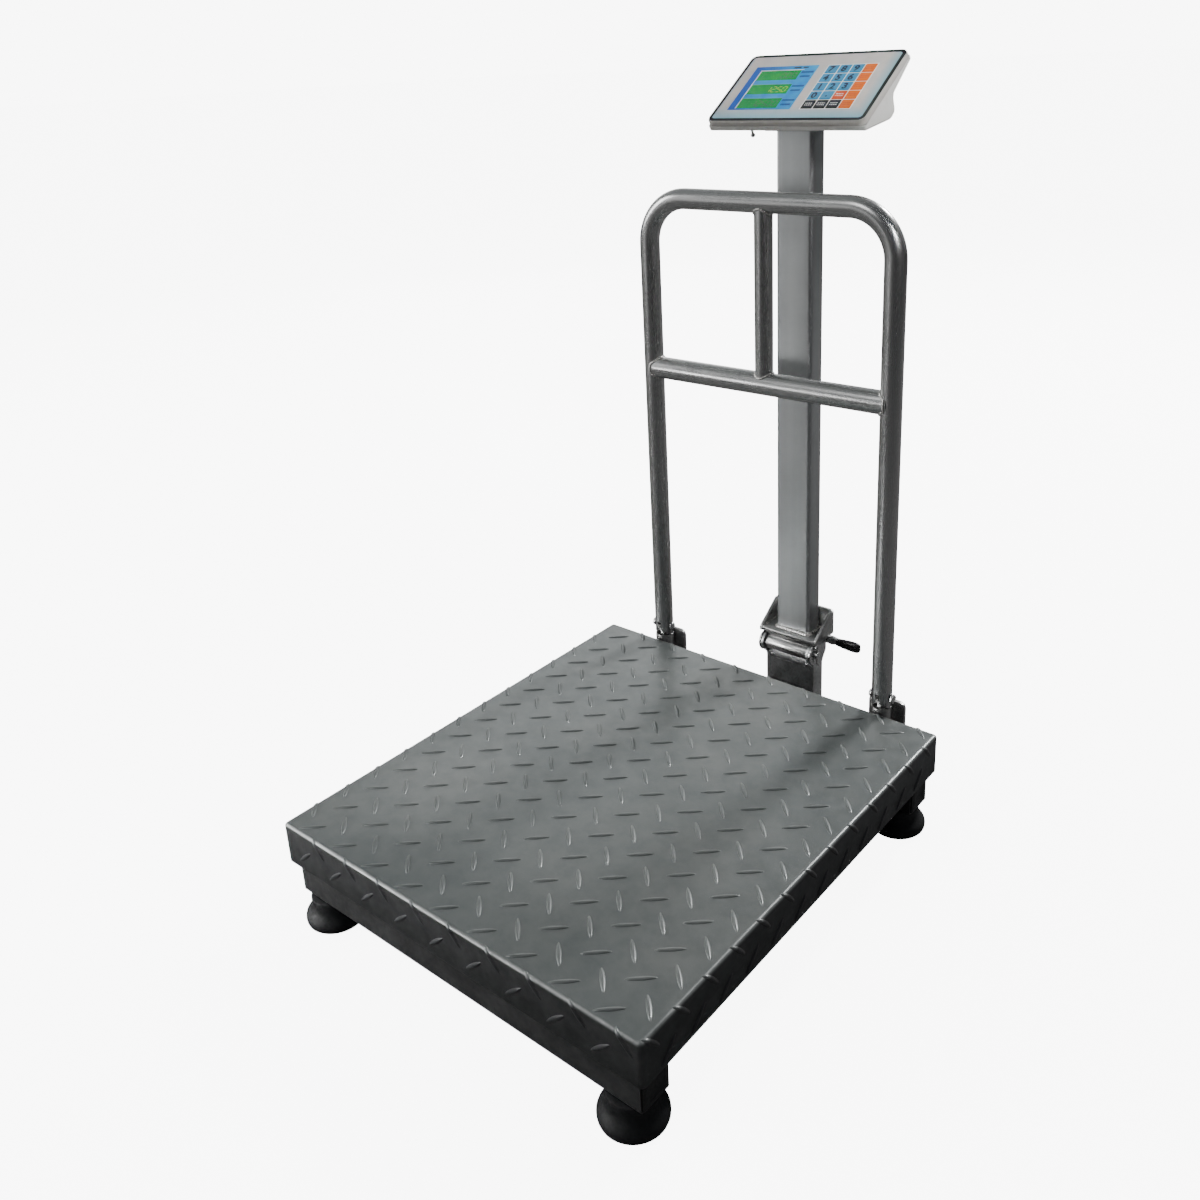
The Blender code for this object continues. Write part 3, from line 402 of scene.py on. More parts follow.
# ================================================================ mesh helpers
def make(name, verts, faces, mat, body, replaces=(), slot=None, sharp=32.0, attrs=None,
         smooth=True, fix=True):
    """verts in millimetres, in the frame."""
    me = bpy.data.meshes.new(name)
    me.from_pydata([tuple(c * MM for c in v) for v in verts], [], faces)
    me.validate()
    if attrs:
        for key, vals in attrs.items():
            if len(vals) and hasattr(vals[0], "__len__"):
                a = me.attributes.new(key, "FLOAT_VECTOR", "POINT")
                a.data.foreach_set("vector", [c for v in vals for c in v])
            else:
                a = me.attributes.new(key, "FLOAT", "POINT")
                a.data.foreach_set("value", vals)
    if fix:
        bm = bmesh.new()
        bm.from_mesh(me)
        bmesh.ops.recalc_face_normals(bm, faces=bm.faces)
        bm.to_mesh(me)
        bm.free()
    return dress(name, me, mat, body, replaces, sharp, smooth)


def dress(name, me, mat, body, replaces=(), sharp=32.0, smooth=True):
    if smooth:
        me.shade_smooth()
        me.set_sharp_from_angle(angle=math.radians(sharp))
    me.materials.clear()
    me.materials.append(mat)
    o = bpy.data.objects.new(name, me)
    col.objects.link(o)
    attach(o, body)
    if replaces:
        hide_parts(*([replaces] if isinstance(replaces, str) else replaces))
    return o


def from_bm(name, bm, mat, body, replaces=(), slot=None, sharp=32.0, scale=MM):
    """bm in millimetres."""
    bmesh.ops.recalc_face_normals(bm, faces=bm.faces)
    me = bpy.data.meshes.new(name)
    for v in bm.verts:
        v.co *= scale
    bm.to_mesh(me)
    bm.free()
    return dress(name, me, mat, body, replaces, sharp)


def rounded(hx, hy, r, seg=6):
    out = []
    for cx, cy, a0 in ((hx - r, hy - r, 0), (-hx + r, hy - r, 90), (-hx + r, -hy + r, 180), (hx - r, -hy + r, 270)):
        for i in range(seg + 1):
            a = math.radians(a0 + 90.0 * i / seg)
            out.append((cx + r * math.cos(a), cy + r * math.sin(a)))
    return out


def loft(rings, closed=False, caps=True):
    """Rings of equal length into verts and faces."""
    n = len(rings[0])
    verts = [p for r in rings for p in r]
    faces = []
    m = len(rings)
    for k in range(m if closed else m - 1):
        a, b = k * n, ((k + 1) % m) * n
        for i in range(n):
            j = (i + 1) % n
            faces.append((a + i, a + j, b + j, b + i))
    if caps and not closed:
        faces.append(tuple(range(n))[::-1])
        faces.append(tuple(range((m - 1) * n, m * n)))
    return verts, faces


def lathe(name, prof, at, axis, seg, mat, body, **kw):
    """prof: (radius, height) along axis from at, in millimetres; 0-radius ends are closed."""
    axis = Vector(axis).normalized()
    q = Vector((0, 0, 1)).rotation_difference(axis)
    at = Vector(at)
    verts, faces, rings = [], [], []
    for r, h in prof:
        if r < 1e-6:
            rings.append([len(verts)])
            verts.append(at + q @ Vector((0, 0, h)))
        else:
            ids = []
            for i in range(seg):
                a = 2 * math.pi * i / seg
                ids.append(len(verts))
                verts.append(at + q @ Vector((r * math.cos(a), r * math.sin(a), h)))
            rings.append(ids)
    for a, b in zip(rings, rings[1:]):
        if len(a) == 1 and len(b) == 1:
            continue
        for i in range(seg):
            j = (i + 1) % seg
            if len(a) == 1:
                faces.append((a[0], b[j], b[i]))
            elif len(b) == 1:
                faces.append((a[i], a[j], b[0]))
            else:
                faces.append((a[i], a[j], b[j], b[i]))
    return make(name, verts, faces, mat, body, **kw)


def frames_along(path, up):
    """Tangent, side and up vectors at each point of a path."""
    out = []
    n = len(path)
    side_prev = None
    for i, p in enumerate(path):
        t = (path[min(i + 1, n - 1)] - path[max(i - 1, 0)]).normalized()
        s = up.cross(t)
        if s.length < 1e-6:
            s = side_prev
        s = s.normalized()
        if side_prev is not None and s.dot(side_prev) < 0:
            s = -s
        side_prev = s
        out.append((t, s, t.cross(s).normalized()))
    return out


def tube(name, path, r, mat, body, seg=36, up=Vector((0, 1, 0)), wall=1.5, caps=True, trim=None, **kw):
    """Round tube swept along a path, with its brushing coordinates kept on it. trim(i, angle) may
    move an end ring's points along the tube, for a saddle-cut end."""
    fr = frames_along(path, up)
    rings, tc = [], []
    s = 0.0
    for i, (p, (t, a, b)) in enumerate(zip(path, fr)):
        if i:
            s += (p - path[i - 1]).length
        ring = []
        for k in range(seg):
            w = 2 * math.pi * k / seg
            q = p + a * (r * math.cos(w)) + b * (r * math.sin(w))
            if trim:
                q = q + t * trim(i, w)
            ring.append(q)
            tc.append((r * math.cos(w) * MM, r * math.sin(w) * MM, s * MM * 0.012))
        rings.append(ring)
    verts, faces = loft(rings, caps=caps)
    return make(name, verts, faces, mat, body, attrs={"tc": tc}, **kw)


def bar_bevel(name, lo, hi, r, mat, body, seg=3, **kw):
    bm = bmesh.new()
    bmesh.ops.create_cube(bm, size=1.0)
    for v in bm.verts:
        v.co = Vector([(lo[i] + hi[i]) / 2 + v.co[i] * (hi[i] - lo[i]) for i in range(3)])
    bmesh.ops.bevel(bm, geom=list(bm.edges), offset=r, segments=seg, affect="EDGES", profile=0.5)
    return from_bm(name, bm, mat, body, **kw)


def square_tube(name, lo, hi, axis, r, wall, mat, body, plug=None, **kw):
    """Square tube with rounded corners, open or plugged at its ends."""
    i = "XYZ".index(axis)
    j, k = [x for x in range(3) if x != i]
    cj, ck = (lo[j] + hi[j]) / 2, (lo[k] + hi[k]) / 2
    hj, hk = (hi[j] - lo[j]) / 2, (hi[k] - lo[k]) / 2

    def ring(inset, at, rr):
        out = []
        for a, b in rounded(hj - inset, hk - inset, max(rr, 0.3), 5):
            p = [0, 0, 0]
            p[i], p[j], p[k] = at, cj + a, ck + b
            out.append(Vector(p))
        return out
    e = 0.4
    rings = [ring(wall, lo[i] + 14, r - wall), ring(wall, lo[i] + e, r - wall), ring(wall - e, lo[i], r - wall + e),
             ring(e, lo[i], r - e), ring(0, lo[i] + e, r), ring(0, hi[i] - e, r), ring(e, hi[i], r - e),
             ring(wall - e, hi[i], r - wall + e), ring(wall, hi[i] - e, r - wall), ring(wall, hi[i] - 14, r - wall)]
    verts, faces = loft(rings, caps=True)
    o = make(name, verts, faces, mat, body, **kw)
    if plug:
        for tag, at, d in (("a", lo[i], -1), ("b", hi[i], 1)):
            pr = [ring(wall + 0.25, at - d * 12, r - wall), ring(wall + 0.25, at - d * 0.1, r - wall),
                  ring(wall - 1.2, at + d * 0.15, r - wall + 1.0), ring(wall - 1.2, at + d * 1.5, r - wall + 1.0),
                  ring(wall, at + d * 2.3, r - wall), ring(wall + 5, at + d * 2.6, 3.0), ring(wall + 6, at + d * 1.9, 3.0)]
            v, f = loft(pr)
            make(name + "_plug_" + tag, v, f, plug, body)
    return o


def weld(name, pts, r, body, closed=True, pitch=2.6, up=None, seed=0):
    """A bead of overlapping puddles along points, each (point, outward direction)."""
    rnd = random.Random(seed)
    # resample
    P = [Vector(p) for p, _ in pts]
    N = [Vector(n).normalized() for _, n in pts]
    if closed:
        P.append(P[0]); N.append(N[0])
    cum = [0.0]
    for a, b in zip(P, P[1:]):
        cum.append(cum[-1] + (b - a).length)
    total = cum[-1]
    count = max(8, int(total / (pitch / 5.0)))
    rings = []
    k = 0
    wob = [rnd.uniform(-1, 1) for _ in range(64)]
    for c in range(count if closed else count + 1):
        s = total * c / count
        while k < len(cum) - 2 and cum[k + 1] < s:
            k += 1
        if not closed and c == count:
            k = len(cum) - 2
        f = (s - cum[k]) / max(cum[k + 1] - cum[k], 1e-9)
        p = P[k].lerp(P[k + 1], f)
        n = N[k].lerp(N[k + 1], f).normalized()
        t = (P[k + 1] - P[k]).normalized()
        b = t.cross(n).normalized()
        ph = (s / pitch) % 1.0
        rr = r * (0.80 + 0.26 * math.sin(math.pi * ph)) * (1 + 0.08 * wob[int(s / pitch) % 64])
        ring = []
        for i in range(10):
            w = 2 * math.pi * i / 10
            lean = 0.35 * rr * math.cos(w)      # each puddle's front bows forward
            ring.append(p + n * (rr * 0.78 * math.cos(w)) + b * (rr * math.sin(w)) + t * lean)
        rings.append(ring)
    verts, faces = loft(rings, closed=closed, caps=not closed)
    return make(name, verts, faces, M_WELD, body, sharp=60, slot="bracket_steel")


def refined(node, mat, width=0.6, segs=2, name=None, angle=28.0):
    """A copy of a CAD node's shape with clean faces and small rounded edges."""
    src = frame["nodes"][node]
    bm = bmesh.new()
    bm.from_mesh(src.data)
    bmesh.ops.remove_doubles(bm, verts=bm.verts, dist=1e-6)
    bmesh.ops.dissolve_limit(bm, angle_limit=math.radians(1.5), verts=bm.verts, edges=bm.edges)
    sharp = [e for e in bm.edges if len(e.link_faces) == 2 and e.calc_face_angle(0.0) > math.radians(angle)]
    if sharp and width > 0:
        bmesh.ops.bevel(bm, geom=sharp, offset=width * MM, segments=segs, affect="EDGES", profile=0.5,
                        clamp_overlap=True)
    bmesh.ops.recalc_face_normals(bm, faces=bm.faces)
    me = bpy.data.meshes.new(name or node + "_finished")
    bm.to_mesh(me)
    bm.free()
    return dress(name or node + "_finished", me, mat, src["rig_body"], replaces=node, sharp=40)


# ================================================================ tread-plate deck
lo, hi = B("cover_pan")
PX, PY0, PY1, PZ, PZ0 = hi.x, lo.y, hi.y, hi.z, lo.z
PYC, PHY = (PY0 + PY1) / 2, (PY1 - PY0) / 2
FR = 4.0
ARC = FR * math.pi / 2


def fold(u, v, h):
    """A point of the flat sheet, u across and v front to back, folded over the deck's edges and raised by h."""
    def axis(s, half):
        m = half - FR
        a = abs(s) - m
        if a <= 0:
            return s, 0.0, 0.0
        sg = 1 if s > 0 else -1
        if a < ARC:
            w = a / FR
            return sg * (m + (FR + h) * math.sin(w)), FR - (FR + h) * math.cos(w) + h, 1.0
        return sg * (half + h), FR + h + (a - ARC), 1.0
    x, dx, fx = axis(u, PX)
    y, dy, fy = axis(v, PHY)
    if fx and fy:
        return None
    down = dx + dy
    return Vector((x, PYC + y, PZ + h - down))


def tread_deck():
    verts, faces, skirt, edge, bar_crown_highlight = [], [], [], [], []

    def tag(p, crown_highlight):
        d = PZ - p.z
        verts.append(p)
        # skirt: how far down the fold a point lies; it carries the skirts' painted shade and their extra roughness
        skirt.append(min(max((d - 1.2) / 2.6, 0.0), 1.0))
        # edge: the band round the bends that takes the painted highlight
        e = 1.0 - abs(d - 1.0) / 1.6
        edge.append(max(0.0, min(1.0, e)) if d > 0.08 else 0.0)
        bar_crown_highlight.append(crown_highlight)

    # the folded tray: rings down the outside, under the hem and up the inside
    def ring(inset, z, cr):
        return [Vector((x, PYC + y, z)) for x, y in rounded(PX - inset, PHY - inset, max(cr - inset, 1.4), 6)]
    rings = []
    steps = 6
    for i in range(steps, -1, -1):
        a = math.radians(90.0 * i / steps)
        rings.append(ring(FR * (1 - math.cos(a)), PZ - FR + FR * math.sin(a), 5.0))
    rings.append(ring(0.0, PZ - 20.0, 5.0))
    rings.append(ring(0.0, PZ0 + 0.5, 5.0))
    rings.append(ring(0.5, PZ0, 5.0))
    rings.append(ring(1.6, PZ0, 5.0))
    rings.append(ring(2.0, PZ0 + 0.5, 5.0))
    rings.append(ring(2.0, PZ - FR, 5.0))
    rings.append(ring(2.8, PZ - 2.6, 5.0))
    rings.append(ring(4.0, PZ - 2.0, 5.0))
    n = len(rings[0])
    for r in rings:
        for p in r:
            tag(p, 0.0)
    for k in range(len(rings) - 1):
        for i in range(n):
            j = (i + 1) % n
            faces.append((k * n + i, k * n + j, (k + 1) * n + j, (k + 1) * n + i))
    faces.append(tuple(range(n))[::-1])
    faces.append(tuple(range((len(rings) - 1) * n, len(rings) * n)))

    # raised bars, laid out on the flat sheet and folded with it
    HL, HW, HH = 15.8, 3.1, 1.3
    rnd = random.Random(3)
    NS, NT = 12, 8
    for kind, ox, oy, ang in ((0, 0.0, 0.0, 41.0), (1, 26.25, 21.7, -46.0)):
        for i in range(-2, 12):
            for j in range(-2, 15):
                cu = -216.0 + 52.5 * i + ox
                cv = -267.5 + 43.43 * j + oy
                a = math.radians(ang + rnd.uniform(-1.0, 1.0))
                c, s = math.cos(a), math.sin(a)
                pts_top, pts_bot, ok = [], [], True
                for p in range(NS + 1):
                    q = -1 + 2 * p / NS
                    wd = HW * math.sqrt(max(1 - q * q, 0.0)) * (0.86 + 0.14 * (1 - abs(q)))
                    wd = max(wd, 0.05)
                    for t in range(NT + 1):
                        g = -1 + 2 * t / NT
                        du, dv = HL * q, wd * g
                        uu, vv = cu + du * c - dv * s, cv + du * s + dv * c
                        prof = (1 - g * g) ** 0.9 * (1 - q ** 4) ** 0.8
                        top = fold(uu, vv, -0.30 + (HH + 0.30) * prof)
                        bot = fold(uu, vv, -0.30 - 0.7 * prof)
                        if top is None or top.z < PZ0 + 1.2:
                            ok = False
                            break
                        pts_top.append(top)
                        pts_bot.append(bot)
                    if not ok:
                        break
                if not ok:
                    continue
                base = len(verts)
                idx_top, idx_bot = {}, {}
                for p in range(NS + 1):
                    for t in range(NT + 1):
                        m = p * (NT + 1) + t
                        rim = p in (0, NS) or t in (0, NT)
                        idx_top[p, t] = len(verts)
                        g = -1 + 2 * t / NT
                        # the crown line of each bar carries its faint painted highlight
                        tag(pts_top[m], max(0.0, 1 - g * g))
                        if rim:
                            idx_bot[p, t] = idx_top[p, t]
                for p in range(1, NS):
                    for t in range(1, NT):
                        idx_bot[p, t] = len(verts)
                        tag(pts_bot[p * (NT + 1) + t], 0.0)
                for p in range(NS):
                    for t in range(NT):
                        faces.append((idx_top[p, t], idx_top[p + 1, t], idx_top[p + 1, t + 1], idx_top[p, t + 1]))
                        f = (idx_bot[p, t], idx_bot[p, t + 1], idx_bot[p + 1, t + 1], idx_bot[p + 1, t])
                        faces.append(f)
    return make("tread_deck", verts, faces, M_TREAD, "root", replaces="cover_pan", slot="tread_plate",
                attrs={"skirt": skirt, "edge": edge, "bar": bar_crown_highlight}, sharp=50)


tread_deck()

# ================================================================ base and inner frame
for node in ("base_front_beam", "base_rear_beam"):
    lo, hi = B(node)
    square_tube(node + "_tube", lo, hi, "X", 3.6, 3.0, M_BASE, "root", plug=M_PLUG, replaces=node, slot="base_steel")
for node, axis in (("base_spine", "Y"), ("mast_outrigger", "Y")):
    lo, hi = B(node)
    square_tube(node + "_tube", lo, hi, axis, 3.4, 2.8, M_BASE, "root", replaces=node, slot="base_steel")
for node, axis in (("top_frame_front", "X"), ("top_frame_rear", "X"), ("top_frame_left", "Y"), ("top_frame_right", "Y")):
    lo, hi = B(node)
    square_tube(node + "_tube", lo, hi, axis, 3.2, 2.5, M_INNER, "root", replaces=node, slot="frame_steel")
refined("top_frame_centre", M_INNER, 0.8)
refined("load_cell", M_ALU, 0.5)
refined("load_cell_spacer", M_ZINC, 0.4)

# ---- socket screws through the load cell's ends, seen from below
lo, hi = B("load_cell")
for iy, yy in enumerate((lo.y + 14, lo.y + 34)):
    for ix, xx in enumerate((-10.0, 10.0)):
        lathe(f"cell_screw_{iy}{ix}", [(0, 0), (2.6, 0), (3.0, 0.9), (5.4, 0.9), (6.0, 0.4), (6.0, -4.4), (5.6, -4.9), (3.2, -4.9),
                                       (3.0, -2.0), (0, -2.0)],
              (xx, yy, lo.z - 0.4), (0, 0, 1), 24, M_ZINC, "root", slot="bright_zinc")

# ---- feet: turned rubber pads on threaded studs
foot_prof = [(0, 0.0), (24.0, 0.0), (26.0, 0.9), (28.8, 0.35), (31.4, 0.9), (33.0, 2.5), (33.7, 4.4), (34.0, 7.0),
             (33.8, 9.4), (33.0, 11.6), (31.6, 13.7), (29.9, 15.7), (28.4, 17.6), (27.2, 19.7), (26.2, 22.2),
             (25.7, 25.0), (25.5, 28.0), (25.4, 32.4), (24.6, 33.9), (23.2, 34.5), (14.0, 34.5), (13.0, 34.2), (0, 34.2)]
for n in ("front_left", "front_right", "rear_left", "rear_right"):
    node = "foot_" + n
    lo, hi = B(node)
    cx, cy = (lo.x + hi.x) / 2, (lo.y + hi.y) / 2
    lathe(node + "_pad", foot_prof, (cx, cy, lo.z), (0, 0, 1), 64, M_RUBBER, node, replaces=node, slot="black_rubber")
    # rolled thread of the stud
    rings, h = [], lo.z + 33.0
    turns, pitch = 17, 1.5
    seg = 20
    prof = []
    z = h
    while z < hi.z - 1.0:
        prof += [(5.2, z - lo.z), (6.0, z - lo.z + 0.75)]
        z += pitch
    prof = [(0, h - lo.z)] + prof + [(5.0, hi.z - lo.z - 0.4), (4.2, hi.z - lo.z), (0, hi.z - lo.z)]
    lathe(node + "_stud", prof, (cx, cy, lo.z), (0, 0, 1), seg, M_ZINC, node, slot="bright_zinc", sharp=80)


# ================================================================ guard rail
gl, gh = B("guard_hoop")
GX, GR = gh.x - 12.5, 12.5
GY = (gl.y + gh.y) / 2
GTOP = gh.z - 12.5
GBEND = 56.0
glo = gl.z + 0.0


def hoop_path():
    pts = [Vector((-GX, GY, z)) for z in (glo, glo + 0.9, glo + 32, 300.0, 420.0, 515.0, 600.0, GTOP - GBEND)]
    steps = 16
    for i in range(1, steps + 1):
        w = math.radians(90.0 * i / steps)
        pts.append(Vector((-GX + GBEND * (1 - math.cos(w)), GY, GTOP - GBEND + GBEND * math.sin(w))))
    return pts + [Vector((-p.x, p.y, p.z)) for p in reversed(pts)]


def cut(o, boxes):
    """Takes plain boxes out of a closed piece."""
    tools = []
    for lo_, hi_ in boxes:
        bm = bmesh.new()
        bmesh.ops.create_cube(bm, size=1.0)
        for v in bm.verts:
            v.co = Vector([(lo_[i] + hi_[i]) / 2 + v.co[i] * (hi_[i] - lo_[i]) for i in range(3)]) * MM
        me = bpy.data.meshes.new("cutter")
        bm.to_mesh(me)
        bm.free()
        t = bpy.data.objects.new("cutter", me)
        col.objects.link(t)
        tools.append(t)
        m = o.modifiers.new("cut", "BOOLEAN")
        m.operation, m.solver, m.object = "DIFFERENCE", "EXACT", t
    bpy.context.view_layer.update()
    dg = bpy.context.evaluated_depsgraph_get()
    me = bpy.data.meshes.new_from_object(o.evaluated_get(dg))
    o.modifiers.clear()
    old, o.data = o.data, me
    bpy.data.meshes.remove(old)
    for t in tools:
        bpy.data.objects.remove(t)
    me.set_sharp_from_angle(angle=math.radians(40))


bl, bh = B("guard_bolt_left")
pivot_z = (bl.z + bh.z) / 2


def hoop_with_ends():
    path = hoop_path()
    up = Vector((0, 1, 0))
    fr = frames_along(path, up)
    seg, r, wall = 40, GR, 1.5
    rings, tc = [], []
    s = 0.0
    n = len(path)

    def ring(i, rr, z=None):
        p = path[i].copy()
        if z is not None:
            p.z = z
        t, a, b = fr[i]
        return [p + a * (rr * math.cos(2 * math.pi * k / seg)) + b * (rr * math.sin(2 * math.pi * k / seg)) for k in range(seg)]

    def push(rg, rr, s):
        rings.append(rg)
        for k in range(seg):
            w = 2 * math.pi * k / seg
            tc.append((rr * math.cos(w) * MM, rr * math.sin(w) * MM, s * MM * 0.012))
    def end_ring(i, rr, lift=0.0):
        """The tube's end is rounded about its pivot, so that it can swing down over the lug."""
        out = ring(i, rr)
        for q in out:
            q.z = pivot_z - math.sqrt(max(r * r - (q.y - GY) ** 2, 0.0)) + lift
        return out
    # open ends show the wall thickness
    push(ring(0, r - wall, pivot_z + 19), r, 0)
    push(end_ring(0, r - wall, 0.3), r, 0)
    push(end_ring(0, r - wall + 0.3), r, 0)
    push(end_ring(0, r - 0.3), r, 0)
    push(end_ring(0, r, 0.3), r, 0)
    push(ring(0, r, pivot_z + 3.0), r, 0)
    for i in range(2, n - 2):
        s += (path[i] - path[i - 1]).length
        push(ring(i, r), r, s)
    push(ring(n - 1, r, pivot_z + 3.0), r, s)
    push(end_ring(n - 1, r, 0.3), r, s)
    push(end_ring(n - 1, r - 0.3), r, s)
    push(end_ring(n - 1, r - wall + 0.3), r, s)
    push(end_ring(n - 1, r - wall, 0.3), r, s)
    push(ring(n - 1, r - wall, pivot_z + 19), r, s)
    v, f = loft(rings)
    o = make("guard_hoop_tube", v, f, M_TUBE, "guard", replaces="guard_hoop", slot="satin_stainless", attrs={"tc": tc}, sharp=45)
    # slots that clear the lugs' tongues as the rail swings
    cut(o, [((sx * GX - 2.95, GY - 17.0, pivot_z - 17.0), (sx * GX + 2.95, GY - 4.0, pivot_z + 6.8)) for sx in (-1, 1)])
    return o


hoop_with_ends()

cl, ch = B("guard_crossbar")
CZ, CR = (cl.z + ch.z) / 2, (ch.z - cl.z) / 2


def saddle(r, R):
    """How far back a point at this height across a tube of radius r sits when it meets a tube of radius R."""
    def f(w):
        y = r * math.sin(w)
        return math.sqrt(max(R * R - y * y, 0.0))
    return f


seg = 40
xs = [-GX, -GX + 20, -90, -30, 30, 90, GX - 20, GX]
rings, tc = [], []
for i, x in enumerate(xs):
    ring = []
    for k in range(seg):
        w = 2 * math.pi * k / seg
        y, z = CR * math.cos(w), CR * math.sin(w)
        xx = x
        back = math.sqrt(max((GR + 0.1) ** 2 - y * y, 1.0))
        if i == 0:
            xx = -GX + back
        if i == len(xs) - 1:
            xx = GX - back
        ring.append(Vector((xx, GY + y, CZ + z)))
        tc.append((y * MM, z * MM, xx * MM * 0.012))
    rings.append(ring)
v, f = loft(rings)
make("guard_crossbar_tube", v, f, M_TUBE, "guard", replaces="guard_crossbar", slot="satin_stainless", attrs={"tc": tc}, sharp=45)

sl, sh = B("guard_strut")
SR = sh.x
rings, tc = [], []
for i, z in enumerate((CZ, CZ + 25, CZ + 70, CZ + 120, GTOP - 25, GTOP)):
    ring = []
    for k in range(seg):
        w = 2 * math.pi * k / seg
        x, y = SR * math.cos(w), SR * math.sin(w)
        zz = z
        if i == 0:
            zz = CZ + math.sqrt(max((CR + 0.1) ** 2 - y * y, 1.0))
        if i == 5:
            zz = GTOP - math.sqrt(max((GR + 0.1) ** 2 - y * y, 1.0))
        ring.append(Vector((x, GY + y, zz)))
        tc.append((x * MM, y * MM, zz * MM * 0.012))
    rings.append(ring)
v, f = loft(rings)
make("guard_strut_tube", v, f, M_TUBE, "guard", replaces="guard_strut", slot="satin_stainless", attrs={"tc": tc}, sharp=45)

# ---- weld beads round the saddles
for side in (-1, 1):
    pts = []
    for k in range(48):
        w = 2 * math.pi * k / 48
        y, z = (CR + 0.2) * math.cos(w), (CR + 0.2) * math.sin(w)
        back = math.sqrt(max((GR + 0.5) ** 2 - min(y * y, GR * GR), 1.0))
        pts.append((Vector((side * (GX - back), GY + y, CZ + z)), Vector((-side * 0.6, math.cos(w), math.sin(w)))))
    weld("guard_weld_bar_" + ("left" if side < 0 else "right"), pts, 1.7, "guard", seed=5 + side)
for tag, zc, R, d in (("low", CZ, CR, 1), ("top", GTOP, GR, -1)):
    pts = []
    for k in range(48):
        w = 2 * math.pi * k / 48
        x, y = (SR + 0.2) * math.cos(w), (SR + 0.2) * math.sin(w)
        h = math.sqrt(max((R + 0.5) ** 2 - y * y, 1.0))
        pts.append((Vector((x, GY + y, zc + d * h)), Vector((math.cos(w), math.sin(w), d * 0.6))))
    weld("guard_weld_strut_" + tag, pts, 1.6, "guard", seed=20 + int(zc))

# ---- lugs and pivot bolts
for side in ("left", "right"):
    refined("guard_lug_" + side, M_PLATE, 0.7)
    lo, hi = B("guard_bolt_" + side)
    sg = -1 if side == "left" else 1
    cy, cz = (lo.y + hi.y) / 2, (lo.z + hi.z) / 2
    xin, xout = (hi.x, lo.x) if side == "left" else (lo.x, hi.x)
    # domed head inboard
    lathe(f"guard_bolt_{side}_head", [(0, 4.0), (1.6, 3.95), (3.0, 3.6), (4.2, 2.9), (5.1, 1.8), (5.55, 0.6), (5.6, 0.0),
                                      (3.0, 0.0), (3.0, -25.6), (0, -25.6)],
          (xin + sg * 4.2, cy, cz), (-sg, 0, 0), 32, M_ZINC, "root", replaces="guard_bolt_" + side, slot="bright_zinc")
    bm = bmesh.new()
    pts = [(5.9 * math.cos(math.radians(60 * i + 8)), 5.9 * math.sin(math.radians(60 * i + 8))) for i in range(6)]
    a = [bm.verts.new((xout - sg * 3.9, cy + p, cz + q)) for p, q in pts]
    b = [bm.verts.new((xout - sg * 0.2, cy + p, cz + q)) for p, q in pts]
    bm.faces.new(a); bm.faces.new(b[::-1])
    for i in range(6):
        j = (i + 1) % 6
        bm.faces.new((a[i], b[i], b[j], a[j]))
    bmesh.ops.bevel(bm, geom=list(bm.edges), offset=0.5, segments=2, affect="EDGES", profile=0.5)
    from_bm(f"guard_bolt_{side}_nut", bm, M_ZINC, "root", slot="bright_zinc")

# ================================================================ hinge, bracket and column
refined("lower_post", M_POST, 0.6)
plo_, phi_ = B("lower_post")
blo_, bhi_ = B("upper_bracket")
# rolled lip: carries the post's front plate up to just under the hinge barrel
AY, AZ, AR = 277.2, 130.4, 10.45
prof = [(278.9, 105.6), (279.4, 105.0), (283.9, 105.0)]
for yy in (283.9, 282.6, 281.2, 279.9, 278.4):
    prof.append((yy, AZ - math.sqrt(AR * AR - (yy - AY) ** 2)))
prof += [(278.0, 119.3), (278.0, 106.4)]
rings = [[Vector((x, y, z)) for y, z in prof] for x in (-32.6, -32.4, 32.4, 32.6)]
v, f = loft(rings)
make("post_front_lip", v, f, M_POST, "root", slot="bracket_steel", sharp=40)
for tag, x in (("left", -27.0), ("right", 27.0)):
    lathe("post_lip_rivet_" + tag, [(0, 1.3), (1.2, 1.2), (2.1, 0.7), (2.5, 0.0), (2.5, -1.0), (0, -1.0)], (x, 278.0, 110.5), (0, -1, 0), 20,
          M_ZINC, "root", slot="bright_zinc")
refined("upper_bracket", M_PLATE, 0.6)
refined("hinge_pin", M_ZINC, 0.4, angle=40)
refined("hinge_washer", M_ZINC, 0.5, angle=40)
frame["nodes"]["split_pin"].data.materials.clear()
frame["nodes"]["split_pin"].data.materials.append(M_ZINC)
refined("mast_head_plate" if "mast_head_plate" in frame["nodes"] else "head_mount_plate", M_PLATE, 0.4)

lo, hi = B("column_post")
CW, CD = (hi.x - lo.x) / 2, (hi.y - lo.y) / 2
CYC = (hi.y + lo.y) / 2
# the top is cut to the case's slope, read from the CAD tube's own top corners
tops = [v.co / MM for v in frame["nodes"]["column_post"].data.vertices if v.co.z / MM > hi.z - 12]
zf = max((p.z for p in tops if p.y < CYC - CD + 1.5), default=hi.z - 6)
zb = min((p.z for p in tops if p.y > CYC + CD - 1.5), default=hi.z)
zb2 = max((p.z for p in tops if p.y > CYC + CD - 1.5), default=hi.z)
sections = [lo.z, lo.z + 0.5, lo.z + 120, lo.z + 300, lo.z + 480, 790.0]
outline = rounded(CW, CD, 4.6, 8)
rings, tc = [], []


def col_ring(z, inset=0.0, cut=False):
    ring = []
    for x, y in rounded(CW - inset, CD - inset, 4.6 - inset, 8):
        zz = z
        if cut:
            f = (y + CD) / (2 * CD)
            zz = zf + (zb2 - zf) * f - 0.1
        ring.append(Vector((x, CYC + y, zz)))
        tc.append(((x) * MM, (y) * MM, zz * MM * 0.012))
    return ring


for z in sections:
    rings.append(col_ring(z, 0.0))
rings.append(col_ring(0, 0.0, True))
v, f = loft(rings)
make("column_tube", v, f, M_COLUMN, "mast", replaces="column_post", slot="satin_stainless", attrs={"tc": tc}, sharp=40)

